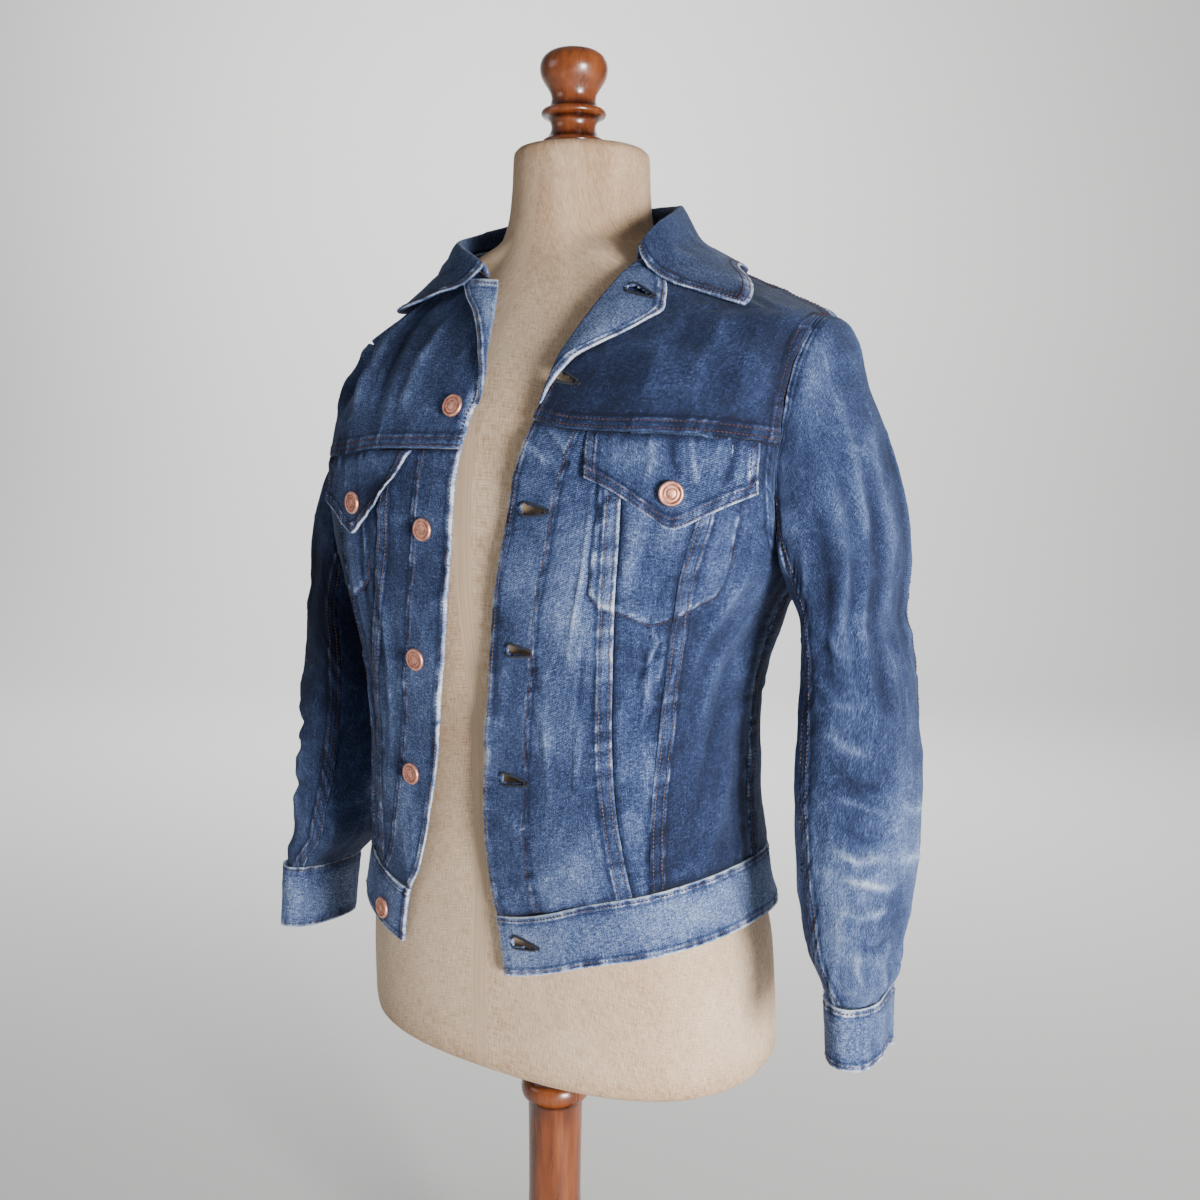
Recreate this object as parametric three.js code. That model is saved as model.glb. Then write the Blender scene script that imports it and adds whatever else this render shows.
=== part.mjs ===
// A denim trucker jacket worn open on a limbless linen dress form, which stands on a turned wooden pole.
// Millimetres, +Z up, the front faces -Y and the wearer's left is +X.
// The origin is the middle of the round base's underside, on the pole's axis.
import * as THREE from "three";

// Cloth
const CLOTH = 1.8; // one wall of denim
const SEAM = 0.3; // clearance between neighbouring pieces
const LAYER = CLOTH + SEAM; // how far a piece lies out from the one beneath

// Heights
const HEM = 437;
const BAND_TALL = 46; // waistband
const YOKE_BACK = 846;
const ARMHOLE_LOW = 728;
const SHOULDER = 903; // the shoulder seam meets the armhole here
const SHOULDER_DROP = 20; // how much lower the wearer's right shoulder hangs
const NECK_SIDE = 969; // the shoulder seam meets the collar here
const LAPEL_TOP = 930;
const LAPEL_LOW = 838;

// Turned wood and form
const FORM_LOW = 326;
const FORM_HIGH = 1034;
const NECK_Y = 25;
const BASE_R = 170;
const BASE_TALL = 26;
const BUTTON_R = 8.6;
const BUTTON_TALL = 4.2;

// A table with named columns, read by its first column, with smooth curves between its rows.
function table(columns, rows) {
  const key = columns[0];
  const list = rows.map((r) => Object.fromEntries(columns.map((c, i) => [c, r[i]])));
  const slope = (i, c) => {
    const a = list[Math.max(i - 1, 0)];
    const b = list[Math.min(i + 1, list.length - 1)];
    return (b[c] - a[c]) / (b[key] - a[key]);
  };
  return (at, column) => {
    const x = Math.min(Math.max(at, list[0][key]), list.at(-1)[key]);
    let i = list.findIndex((r, k) => k > 0 && x <= r[key]) - 1;
    i = Math.max(i, 0);
    const [p, q] = [list[i], list[i + 1]];
    const h = q[key] - p[key];
    const t = (x - p[key]) / h;
    const [m, n] = [slope(i, column) * h, slope(i + 1, column) * h];
    const [t2, t3] = [t * t, t * t * t];
    const rise = 3 * t2 - 2 * t3;
    return p[column] + (q[column] - p[column]) * rise + m * (t3 - 2 * t2 + t) + n * (t3 - t2);
  };
}

const lerp = (a, b, t) => a + (b - a) * t;
const ease = (t) => {
  const s = Math.min(Math.max(t, 0), 1);
  return s * s * (3 - 2 * s);
};
const radians = (d) => (d * Math.PI) / 180;
const degrees = (r) => (r * 180) / Math.PI;

// The outer face of the worn jacket's body: level sections from the hem over the shoulders to the neck.
// side is the half width, middle the y of the widest place, squareF and squareB the corners' squareness.
const body = table(
  ["z", "side", "middle", "front", "back", "squareF", "squareB"],
  [
    [415, 178, 20, -100, 144, 2.7, 2.4],
    [440, 176, 20, -101, 143, 2.7, 2.4],
    [480, 168, 20, -102, 138, 2.8, 2.3],
    [560, 161, 20, -106, 124, 3.0, 2.2],
    [640, 165, 22, -112, 118, 3.1, 2.2],
    [690, 180, 25, -117, 122, 3.1, 2.3],
    [728, 198, 27, -118, 129, 3.0, 2.4],
    [780, 210, 28, -118, 131, 3.0, 2.5],
    [820, 214, 30, -114, 130, 2.9, 2.5],
    [860, 216, 33, -101, 124, 2.6, 2.4],
    [886, 215, 35, -86, 115, 2.3, 2.3],
    [904, 209, 36, -75, 108, 2.1, 2.1],
    [921, 174, 36, -66, 103, 2.0, 2.0],
    [940, 132, 36, -58, 99, 2.0, 2.0],
    [956, 101, 35, -52, 97, 2.0, 2.0],
    [976, 68, 31, -47, 96, 2.0, 2.0],
  ],
);

// The wearer's right side sits closer in than the left.
const drawnIn = table(
  ["z", "by"],
  [
    [430, 0],
    [500, 3],
    [640, 4],
    [760, 9],
    [860, 13],
    [902, 15],
    [930, 9],
    [956, 3],
    [976, 0],
  ],
);

// The folds that stand out on the body: each runs from one place to another, as the turn round the body
// in degrees (0 front, 90 the wearer's left) and the height, with its depth and width.
const FOLDS = [
  { from: [-46, 938], to: [-24, 822], deep: 6, wide: 11 },
  { from: [-58, 934], to: [-44, 822], deep: 7, wide: 10 },
  { from: [-70, 922], to: [-62, 824], deep: 5, wide: 13 },
  { from: [34, 905], to: [30, 830], deep: 2.5, wide: 14 },
  { from: [64, 915], to: [52, 826], deep: 4, wide: 13 },
  { from: [40, 745], to: [44, 640], deep: -3, wide: 9 },
  { from: [36, 690], to: [48, 640], deep: 3.5, wide: 9 },
  { from: [52, 735], to: [70, 640], deep: -3.5, wide: 18 },
  { from: [86, 700], to: [64, 560], deep: -4, wide: 20 },
  { from: [-86, 690], to: [-60, 560], deep: -4, wide: 20 },
  { from: [110, 735], to: [140, 560], deep: -5, wide: 22 },
  { from: [250, 735], to: [220, 560], deep: -5, wide: 22 },
  { from: [128, 700], to: [170, 610], deep: 4, wide: 20 },
  { from: [232, 700], to: [190, 600], deep: 4, wide: 20 },
];
const MM_PER_DEGREE = 2.9; // round the body, for the folds' width

function foldAt(turn, z) {
  let sum = 0;
  for (const { from, to, deep, wide } of FOLDS) {
    const run = [(to[0] - from[0]) * MM_PER_DEGREE, to[1] - from[1]];
    let round = turn - from[0];
    round -= 360 * Math.round(round / 360);
    const here = [round * MM_PER_DEGREE, z - from[1]];
    const long = Math.hypot(...run);
    const along = (here[0] * run[0] + here[1] * run[1]) / long;
    const off = (here[0] * run[1] - here[1] * run[0]) / long;
    const fade = ease(along / (0.35 * long)) * ease((long - along) / (0.35 * long));
    sum += deep * fade * Math.exp(-((off / wide) ** 2));
  }
  return sum;
}

// A point of a level section: turn in degrees from the centre front towards the wearer's left.
function sectionPoint(turn, z, s) {
  const [sn, cs] = [Math.sin(radians(turn)), Math.cos(radians(turn))];
  const square = cs > 0 ? s.squareF : s.squareB;
  const power = (v) => Math.sign(v) * Math.abs(v) ** (2 / square);
  const deep = cs > 0 ? s.middle - s.front : s.back - s.middle;
  return new THREE.Vector3(s.side * power(sn), s.middle - deep * power(cs), z);
}

function plainBody(turn, z) {
  const s = {};
  for (const c of ["side", "middle", "front", "back", "squareF", "squareB"]) s[c] = body(z, c);
  if (Math.sin(radians(turn)) >= 0) return sectionPoint(turn, z, s);
  s.side -= drawnIn(z, "by");
  const p = sectionPoint(turn, z, s);
  p.z -= SHOULDER_DROP * ease((-p.x - 65) / 130) * ease((z - 812) / 75);
  return p;
}

function normalOf(surface, a, b, da, db) {
  const u = surface(a + da, b).sub(surface(a - da, b));
  const v = surface(a, b + db).sub(surface(a, b - db));
  return u.cross(v).normalize();
}

// The body's outer face, moved out along its normal.
function bodyPoint(turn, z, out = 0) {
  const n = normalOf(plainBody, turn, z, 1.5, 3);
  return plainBody(turn, z).addScaledVector(n, out + foldAt(turn, z));
}

// The turn at which the section at z has this x, on the front or the back.
function turnAtX(x, z, back = false) {
  const square = body(z, back ? "squareB" : "squareF");
  const side = body(z, "side") - (x < 0 ? drawnIn(z, "by") : 0);
  const share = Math.min(Math.abs(x) / side, 1);
  const turn = degrees(Math.asin(share ** (square / 2)));
  const front = Math.sign(x) * turn;
  return back ? (x < 0 ? 180 + turn : 180 - turn) : front;
}

// The armhole, as the x of its edge at each height.
const armholeX = table(
  ["z", "x"],
  [
    [ARMHOLE_LOW, body(ARMHOLE_LOW, "side")],
    [770, 203],
    [812, 206],
    [860, 208],
    [886, 208],
    [SHOULDER, body(SHOULDER, "side")],
  ],
);
function armholeTurn(z, back) {
  if (z <= ARMHOLE_LOW || z >= SHOULDER) return 90;
  const t = turnAtX(armholeX(z, "x"), z, back);
  return back ? Math.max(t, 90) : Math.min(t, 90);
}

// The open front edges: x at each height, up to where the neckline starts.
const frontEdge = table(
  ["z", "left", "right"],
  [
    [410, 23, -84],
    [440, 19, -79],
    [462, 15, -73],
    [480, 10, -63],
    [512, 6, -52],
    [551, 6, -42],
    [592, 9, -34],
    [632, 14, -28],
    [692, 23, -18],
    [740, 33, -13],
    [790, 43, -8],
    [826, 54, 0],
    [855, 63, 6],
    [876, 67, 0],
    [900, 75, -7],
    [LAPEL_TOP, 86, -14],
  ],
);
// The neckline from the collar's ends round the back: z at each turn.
const necklineLeft = table(
  ["turn", "z"],
  [
    [34, LAPEL_TOP],
    [43, 940],
    [52, 950],
    [66, 960],
    [90, NECK_SIDE],
    [135, 973],
    [180, 974],
  ],
);
const necklineRight = table(
  ["turn", "z"],
  [
    [7, LAPEL_TOP],
    [20, 941],
    [40, 951],
    [65, 961],
    [90, NECK_SIDE],
    [135, 973],
    [180, 974],
  ],
);
function neckline(turn) {
  const t = ((turn + 180) % 360) - 180;
  return t >= 0 ? necklineLeft(t, "z") : necklineRight(-t, "z");
}
// The turn of the front's inner edge at a height: the front edge, then the neckline.
function innerTurn(z, side) {
  if (z <= LAPEL_TOP) return turnAtX(frontEdge(z, side > 0 ? "left" : "right"), z);
  let [low, high] = side > 0 ? [30, 90] : [4, 90];
  for (let i = 0; i < 30; i += 1) {
    const mid = (low + high) / 2;
    if (neckline(side * mid) < z) low = mid;
    else high = mid;
  }
  return side * low;
}

// The hem: the open fronts hang lower than the sides.
const hem = table(
  ["turn", "z"],
  [
    [-180, 447],
    [-120, 450],
    [-80, 449],
    [-60, 440],
    [-42, 429],
    [-21, 416],
    [-8, 414],
    [4, 415],
    [24, 434],
    [42, 444],
    [64, 452],
    [90, 455],
    [130, 451],
    [180, 447],
  ],
);
const hemAt = (turn) => hem(turn > 180 ? turn - 360 : turn, "z");
const bandTop = (turn) => hemAt(turn) + BAND_TALL;

// The front yokes' lower seams: the right one hangs lower.
const yokeLow = {
  left: table(
    ["turn", "z"],
    [
      [0, 831],
      [7, 828],
      [15, 821],
      [40, 819],
      [54, 817],
      [73, 812],
      [90, 808],
    ],
  ),
  right: table(
    ["turn", "z"],
    [
      [0, 806],
      [18, 805],
      [30, 801],
      [50, 797],
      [75, 793],
      [90, 791],
    ],
  ),
};
const yokeSeam = (side) => (turn) => yokeLow[side > 0 ? "left" : "right"](Math.abs(turn), "z");

// The V seams of the fronts and of the back: x at each height.
const frontSeams = {
  left: table(
    ["z", "inner", "outer"],
    [
      [470, 127, 136],
      [490, 122, 133],
      [523, 116, 132],
      [557, 112, 133],
      [600, 111, 137],
      [642, 113, 142],
      [692, 118, 152],
      [724, 121, 159],
      [765, 124, 170],
      [820, 126, 178],
    ],
  ),
  right: table(
    ["z", "inner", "outer"],
    [
      [470, 119, 130],
      [557, 115, 132],
      [620, 113, 134],
      [645, 109, 135],
      [681, 99, 137],
      [715, 92, 139],
      [747, 88, 142],
      [800, 84, 148],
    ],
  ),
};
const backSeams = table(
  ["z", "x"],
  [
    [470, 66],
    [640, 84],
    [YOKE_BACK, 128],
  ],
);

// A closed wall over a grid of points: face(u, v, out) gives a point, with u and v from 0 to 1.
// out is how far the outer side lies from the surface, and thick the wall.
function wall(face, across, up, { out = 0, thick = CLOTH, flip = false } = {}) {
  const points = [];
  for (const o of [out, out - thick]) {
    for (let j = 0; j <= up; j += 1) {
      for (let i = 0; i <= across; i += 1) points.push(face(i / across, j / up, o));
    }
  }
  const row = across + 1;
  const layer = row * (up + 1);
  const at = (l, i, j) => l * layer + j * row + i;
  const tris = [];
  const quad = (a, b, c, d) => tris.push([a, b, c], [a, c, d]);
  for (let j = 0; j < up; j += 1) {
    for (let i = 0; i < across; i += 1) {
      quad(at(0, i, j), at(0, i + 1, j), at(0, i + 1, j + 1), at(0, i, j + 1));
      quad(at(1, i, j), at(1, i, j + 1), at(1, i + 1, j + 1), at(1, i + 1, j));
    }
  }
  for (let i = 0; i < across; i += 1) {
    quad(at(0, i, 0), at(1, i, 0), at(1, i + 1, 0), at(0, i + 1, 0));
    quad(at(0, i, up), at(0, i + 1, up), at(1, i + 1, up), at(1, i, up));
  }
  for (let j = 0; j < up; j += 1) {
    quad(at(0, 0, j), at(0, 0, j + 1), at(1, 0, j + 1), at(1, 0, j));
    quad(at(0, across, j), at(1, across, j), at(1, across, j + 1), at(0, across, j + 1));
  }
  return surfaceOf(points, flip ? tris.map(([a, b, c]) => [a, c, b]) : tris);
}

function surfaceOf(points, tris) {
  const geometry = new THREE.BufferGeometry();
  geometry.setAttribute("position", new THREE.Float32BufferAttribute(points.flatMap((p) => [...p]), 3));
  geometry.setIndex(tris.flat());
  geometry.computeVertexNormals();
  return geometry;
}

// A tube of closed rings, each a list of points, with its two ends closed by a fan.
function closedRings(rings) {
  const n = rings[0].length;
  const points = rings.flat();
  const tris = [];
  for (let j = 0; j + 1 < rings.length; j += 1) {
    for (let i = 0; i < n; i += 1) {
      const k = (i + 1) % n;
      tris.push([j * n + i, j * n + k, (j + 1) * n + k], [j * n + i, (j + 1) * n + k, (j + 1) * n + i]);
    }
  }
  const cap = (ring, up) => {
    const centre = new THREE.Vector3();
    ring.forEach((p) => centre.add(p));
    points.push(centre.divideScalar(n));
    const start = up ? (rings.length - 1) * n : 0;
    for (let i = 0; i < n; i += 1) {
      const [a, b] = [start + i, start + ((i + 1) % n)];
      tris.push(up ? [a, b, points.length - 1] : [b, a, points.length - 1]);
    }
  };
  cap(rings[0], false);
  cap(rings.at(-1), true);
  return surfaceOf(points, tris);
}

const denim = () => new THREE.MeshStandardMaterial({ color: 0x3f5a86, roughness: 0.85 });
const paleDenim = () => new THREE.MeshStandardMaterial({ color: 0x7389ad, roughness: 0.88 });
const copper = () => new THREE.MeshStandardMaterial({ color: 0xc9785a, roughness: 0.35, metalness: 1 });
const linen = () => new THREE.MeshStandardMaterial({ color: 0xd2bb98, roughness: 0.9 });
const wood = () => new THREE.MeshStandardMaterial({ color: 0xa65f2e, roughness: 0.4 });
const iron = () => new THREE.MeshStandardMaterial({ color: 0x2c3033, roughness: 0.5, metalness: 0.6 });

const group = new THREE.Group();
function add(name, geometry, material) {
  const mesh = new THREE.Mesh(geometry, material);
  mesh.name = name;
  group.add(mesh);
  return mesh;
}

// A panel of the body between two turns, each a function of the height, and two heights,
// each a function of the turn. Its edges draw back by half a seam's clearance.
function panel(turnA, turnB, low, high, across, up, options) {
  const face = (u, v, out) => {
    const ends = [turnA, turnB].map((edge) => {
      let turn = edge(650);
      for (let i = 0; i < 4; i += 1) turn = edge(lerp(low(turn), high(turn), v));
      return turn;
    });
    const bare = lerp(ends[0], ends[1], u);
    const z = lerp(low(bare) + SEAM / 2, high(bare) - SEAM / 2, v);
    const span = plainBody(ends[0], z).distanceTo(plainBody(ends[1], z));
    const inset = Math.min(SEAM / 2 / Math.max(span, 1), 0.2);
    return bodyPoint(lerp(ends[0], ends[1], lerp(inset, 1 - inset, u)), z, out);
  };
  return wall(face, across, up, options);
}

// The front panels below the yoke, for the wearer's left (side 1) and right (side -1).
function addFront(side, name) {
  const edge = (z) => turnAtX(frontEdge(z, name), z);
  const seam = (key) => (z) => turnAtX(side * frontSeams[name](z, key), z);
  const outer = (z) => side * armholeTurn(z, false);
  const yoke = yokeSeam(side);
  const flip = side < 0;
  add(`front_${name}_centre`, panel(edge, seam("inner"), bandTop, yoke, 7, 14, { flip }), denim());
  add(`front_${name}_middle`, panel(seam("inner"), seam("outer"), bandTop, yoke, 4, 14, { flip }), denim());
  add(`front_${name}_side`, panel(seam("outer"), outer, bandTop, yoke, 6, 14, { flip }), denim());
  const face = (u, v, out) => {
    let turn = side * 45;
    let z = 0;
    for (let i = 0; i < 4; i += 1) {
      z = lerp(yoke(turn) + SEAM / 2, NECK_SIDE - 2, v);
      const arm = side * armholeTurn(z, false);
      const inner = innerTurn(z, side);
      const inset = 0.3 / Math.max(Math.abs(arm - inner) * MM_PER_DEGREE, 2);
      turn = lerp(inner, arm, lerp(inset / 2, 1 - inset, u));
    }
    return bodyPoint(turn, z, out);
  };
  add(`yoke_front_${name}`, wall(face, 10, 12, { flip }), denim());
}

// The lapel: the front's top corner, turned out over the yoke along the roll line.
// Its width from the roll line at each height, and the height where it ends.
const LAPELS = {
  left: {
    top: 939,
    wide: table(
      ["z", "by"],
      [
        [LAPEL_LOW, 1.5],
        [852, 3],
        [869, 12],
        [880, 27],
        [891, 42],
        [901, 50],
        [911, 44],
        [921, 35],
        [930, 24],
        [939, 12],
      ],
    ),
  },
  right: {
    top: 929,
    wide: table(
      ["z", "by"],
      [
        [LAPEL_LOW, 2],
        [852, 3],
        [869, 5],
        [890, 10],
        [905, 17],
        [915, 25],
        [929, 32],
      ],
    ),
  },
};
function addLapel(side, name) {
  const { top, wide } = LAPELS[name];
  const face = (u, v, out) => {
    const z = lerp(LAPEL_LOW, top, v);
    const roll = plainBody(innerTurn(z, side), z).x;
    const x = lerp(roll - side * 1.5, roll + side * wide(z, "by"), u);
    const lift = 2 * Math.sin(Math.PI * u) + (side < 0 ? 3 * u * v : 0);
    return bodyPoint(turnAtX(x, z), z, out + lift);
  };
  add(`lapel_${name}`, wall(face, 5, 11, { out: LAYER + 0.6, flip: side < 0 }), paleDenim());
}

// A pointed pocket flap hangs from each yoke seam over the front panels. across is 0 at its inner end;
// top and low are the x of its upper and lower edges, and z the lower edge's height.
const FLAPS = {
  left: table(
    ["across", "top", "low", "z"],
    [
      [0, 99, 100, 788],
      [0.2, 119, 120, 779],
      [0.4, 139, 141, 765],
      [0.55, 155, 156, 755],
      [0.75, 175, 177, 766],
      [1, 199, 197, 779],
    ],
  ),
  right: table(
    ["across", "top", "low", "z"],
    [
      [0, 52, 75, 773],
      [0.2, 73, 88, 762],
      [0.4, 95, 103, 749],
      [0.55, 110, 117, 740],
      [0.75, 131, 136, 752],
      [1, 157, 158, 764],
    ],
  ),
};
const FLAP_CURL = { left: 1.5, right: 6 };
function addFlap(side, name) {
  const face = (u, v, out) => {
    const flap = (column) => FLAPS[name](u, column);
    const x = side * lerp(flap("low"), flap("top"), v);
    const turn = turnAtX(x, 800);
    const z = lerp(flap("z"), yokeSeam(side)(turn) - 1.5, v);
    const curl = FLAP_CURL[name] * (1 - v) ** 2 * (0.25 + 0.75 * Math.abs(2 * u - 1.1) ** 2);
    return bodyPoint(turnAtX(x, z), z, out + curl);
  };
  add(`pocket_flap_${name}`, wall(face, 12, 5, { out: LAYER + 0.4, flip: side < 0 }), denim());
}

function addBack() {
  const seam = (side) => (z) => turnAtX(side * backSeams(z, "x"), z, true);
  const arm = (side) => (z) => (side > 0 ? armholeTurn(z, true) : 360 - armholeTurn(z, true));
  const yoke = () => YOKE_BACK;
  add("back_centre", panel(seam(1), seam(-1), bandTop, yoke, 8, 12), denim());
  add("back_left_side", panel(arm(1), seam(1), bandTop, yoke, 7, 14), denim());
  add("back_right_side", panel(seam(-1), arm(-1), bandTop, yoke, 7, 14), denim());
  const face = (u, v, out) => {
    const edgeZ = lerp(YOKE_BACK + SEAM / 2, NECK_SIDE - 2, v);
    const edge = armholeTurn(edgeZ, true) + 0.1;
    const turn = lerp(edge, 360 - edge, u);
    return bodyPoint(turn, lerp(YOKE_BACK + SEAM / 2, neckline(turn) - 2, v), out);
  };
  add("yoke_back", wall(face, 18, 9), denim());
}

function addWaistband() {
  const face = (u, v, out) => {
    const z0 = 455;
    const start = turnAtX(frontEdge(z0, "left"), z0);
    const end = 360 + turnAtX(frontEdge(z0, "right"), z0);
    let turn = lerp(start, end, u);
    let z = z0;
    for (let i = 0; i < 4; i += 1) {
      z = lerp(hemAt(turn), bandTop(turn) - SEAM / 2, v);
      const from = turnAtX(frontEdge(z, "left"), z);
      const to = 360 + turnAtX(frontEdge(z, "right"), z);
      turn = lerp(from, to, u);
    }
    return bodyPoint(turn, z, out);
  };
  add("waistband", wall(face, 56, 2, { out: 0.9, thick: 2.7 }), paleDenim());
}

// The collar: a stand rises from the neckline, rolls over and falls as a leaf onto the shoulders.
// at runs from the wearer's left front end round the back to the right one. neck and edge are turns:
// of the stand on the neckline and of the leaf's free edge, at the height low, lift off the body.
const collar = table(
  ["at", "neck", "stand", "lean", "edge", "low", "lift"],
  [
    [0, 43, 5, 3, 55, 903, 2.5],
    [0.07, 51, 7, 4, 66, 917, 2.5],
    [0.2, 76, 10, 4, 85, 937, 2],
    [0.34, 112, 17, 0, 116, 937, 2],
    [0.5, 180, 22, -5, 180, 932, 2],
    [0.66, 248, 15, 0, 244, 937, 2],
    [0.8, 288, 8, 2, 276, 932, 2],
    [0.93, 328, 7, 2, 308, 918, 6],
    [1, 350, 5, 2, 330, 908, 11],
  ],
);
const ROLL = 3.2;
function collarCurve(at) {
  const c = (column) => collar(at, column);
  const out = (turn, z) => normalOf(plainBody, turn, z, 1.5, 3);
  const base = plainBody(c("neck"), neckline(c("neck")));
  const level = out(c("neck"), neckline(c("neck"))).setZ(0).normalize();
  const point = (o, up) => base.clone().addScaledVector(level, o).setZ(base.z + up);
  const leaf = (t, lift) => {
    const turn = lerp(c("neck"), c("edge"), t);
    const z = lerp(neckline(c("neck")), c("low"), t);
    const front = at < 0.12 ? -7 * (1 - at / 0.12) * 4 * t * (1 - t) : 0;
    return plainBody(turn + front, z).addScaledVector(out(turn, z), LAYER + lift);
  };
  const [stand, lean] = [c("stand"), c("lean")];
  return new THREE.CatmullRomCurve3(
    [
      point(0, 1.2),
      point(lean * 0.5, 1.2 + stand * 0.5),
      point(lean, 1.2 + stand),
      point(lean + ROLL, 1.2 + stand + ROLL),
      point(lean + 2 * ROLL, 1.2 + stand - 0.5),
      leaf(0.32, 4.2),
      leaf(0.62, 2.2 + 0.4 * c("lift")),
      leaf(1, c("lift")),
    ],
    false,
    "centripetal",
  );
}
function addCollar() {
  const curves = new Map();
  const centre = (u, v) => {
    const key = u.toFixed(5);
    if (!curves.has(key)) curves.set(key, collarCurve(u));
    return curves.get(key).getPoint(Math.min(Math.max(v, 0), 1));
  };
  const face = (u, v, out) => {
    const [u0, u1] = [Math.max(u - 0.01, 0), Math.min(u + 0.01, 1)];
    const along = centre(u1, v).sub(centre(u0, v));
    const up = centre(u, Math.min(v + 0.02, 1)).sub(centre(u, Math.max(v - 0.02, 0)));
    return centre(u, v).addScaledVector(along.cross(up).normalize(), -out);
  };
  add("collar", wall(face, 24, 12, { out: CLOTH / 2, flip: true }), denim());
}

// Sleeves: rings from the armhole to the cuff. x, y is a ring's centre, long and short its half sizes
// front to back and across, twist turns it about the sleeve, swing moves the wearer's right one out.
const sleeve = table(
  ["z", "x", "y", "long", "short", "twist", "swing"],
  [
    [427, 261, 2, 39, 19, 7, 1],
    [441, 260, 4, 44, 26, 6, -4],
    [457, 254, 8, 47, 31, 5, -7],
    [486, 252, 13, 50, 35, 3, -6],
    [516, 250, 17, 52, 39, 1, -7],
    [575, 247, 21, 54, 41, 0, -9],
    [634, 245, 25, 57, 37, 0, -8],
    [664, 242, 27, 59, 33, 0, -4],
    [693, 237, 28, 60, 30, 0, -6],
    [760, 229, 30, 62, 27, 0, -11],
    [820, 220, 32, 62, 26, 0, -12],
    [915, 212, 36, 58, 26, 0, -14],
  ],
);
const CUFF_TOP = 427;
const CUFF_TALL = 43;
const SLEEVE_FOLDS = [
  { from: [-40, 0.12], to: [-70, 0.6], deep: -5, wide: 16 },
  { from: [-5, 0.1], to: [-20, 0.5], deep: -3.5, wide: 12 },
  { from: [30, 0.16], to: [15, 0.62], deep: -3.5, wide: 14 },
  { from: [-90, 0.62], to: [-20, 0.7], deep: -4.5, wide: 9 },
  { from: [-80, 0.7], to: [0, 0.76], deep: -4, wide: 8 },
  { from: [-95, 0.78], to: [-30, 0.83], deep: -3.5, wide: 8 },
  { from: [100, 0.6], to: [40, 0.68], deep: -4, wide: 10 },
  { from: [150, 0.5], to: [110, 0.75], deep: -4, wide: 14 },
  { from: [200, 0.25], to: [170, 0.6], deep: -4, wide: 16 },
];
function sleeveFold(around, down) {
  let sum = 0;
  for (const { from, to, deep, wide } of SLEEVE_FOLDS) {
    const run = [to[0] - from[0], (to[1] - from[1]) * 480];
    let turn = around - from[0];
    turn -= 360 * Math.round(turn / 360);
    const here = [turn, (down - from[1]) * 480];
    const long = Math.hypot(...run);
    const along = (here[0] * run[0] + here[1] * run[1]) / long;
    const off = (here[0] * run[1] - here[1] * run[0]) / long;
    const fade = ease(along / (0.3 * long)) * ease((long - along) / (0.3 * long));
    sum += deep * fade * Math.exp(-((off / wide) ** 2));
  }
  return sum;
}
// The armhole's edge, met by the sleeve's first ring: around is 0 outwards (the shoulder point's side
// of the ring is up), 90 at the back, 180 below and 270 at the front.
function armholeRing(around, side) {
  const a = radians(around);
  const z = (SHOULDER + ARMHOLE_LOW) / 2 + ((SHOULDER - ARMHOLE_LOW) / 2) * Math.cos(a);
  const back = Math.sin(a) > 0;
  const safe = Math.min(Math.max(z, ARMHOLE_LOW + 0.01), SHOULDER - 0.01);
  const turn = armholeTurn(safe, back);
  const p = plainBody(side * turn, z);
  return p.setX(Math.abs(p.x));
}
function sleeveRing(around, z, side) {
  const a = radians(around);
  const [long, short] = [sleeve(z, "long"), sleeve(z, "short")];
  const power = (v) => Math.sign(v) * Math.abs(v) ** 0.86;
  const [lx, ly] = [short * power(Math.cos(a)), long * power(Math.sin(a))];
  const tw = radians(sleeve(z, "twist"));
  const swing = side < 0 ? sleeve(z, "swing") : 0;
  return new THREE.Vector3(
    sleeve(z, "x") + swing + lx * Math.cos(tw) - ly * Math.sin(tw),
    sleeve(z, "y") + lx * Math.sin(tw) + ly * Math.cos(tw),
    z,
  );
}
// A point of a sleeve's outer face: down is 0 at the armhole and 1 at the cuff.
function plainSleeve(around, down, side) {
  const ring = armholeRing(around, side);
  const meet = ease(down / 0.3);
  const ringHigh = ring.z - (ARMHOLE_LOW + SHOULDER) / 2;
  const level = lerp(815, CUFF_TOP, down) + ringHigh * (1 - ease(down / 0.42));
  const tube = sleeveRing(around, Math.min(level, 915), side);
  const p = ring.clone().lerp(tube, meet ** 0.8);
  p.x += 1.2 + 19 * Math.sin(Math.PI * Math.min(down / 0.34, 1)) * Math.max(0, Math.cos(radians(around))) ** 0.6;
  p.z = lerp(ring.z, level, ease(down / 0.1)) - (1 - ease(down / 0.1)) * down * 20;
  return p;
}
function sleevePoint(around, down, side, out) {
  const surface = (a, d) => plainSleeve(a, d, side);
  const n = normalOf(surface, around, Math.min(Math.max(down, 0.004), 0.996), 2, 0.004).negate();
  const fold = sleeveFold(around, down) * ease(down / 0.12) * ease((1 - down) / 0.06);
  return surface(around, down).addScaledVector(n, out + fold);
}
const SLEEVE_SEAMS = { back: 58, front: 236 }; // where the two halves of a sleeve meet
const mirrored = (p, side) => new THREE.Vector3(side * p.x, p.y, p.z);
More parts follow.
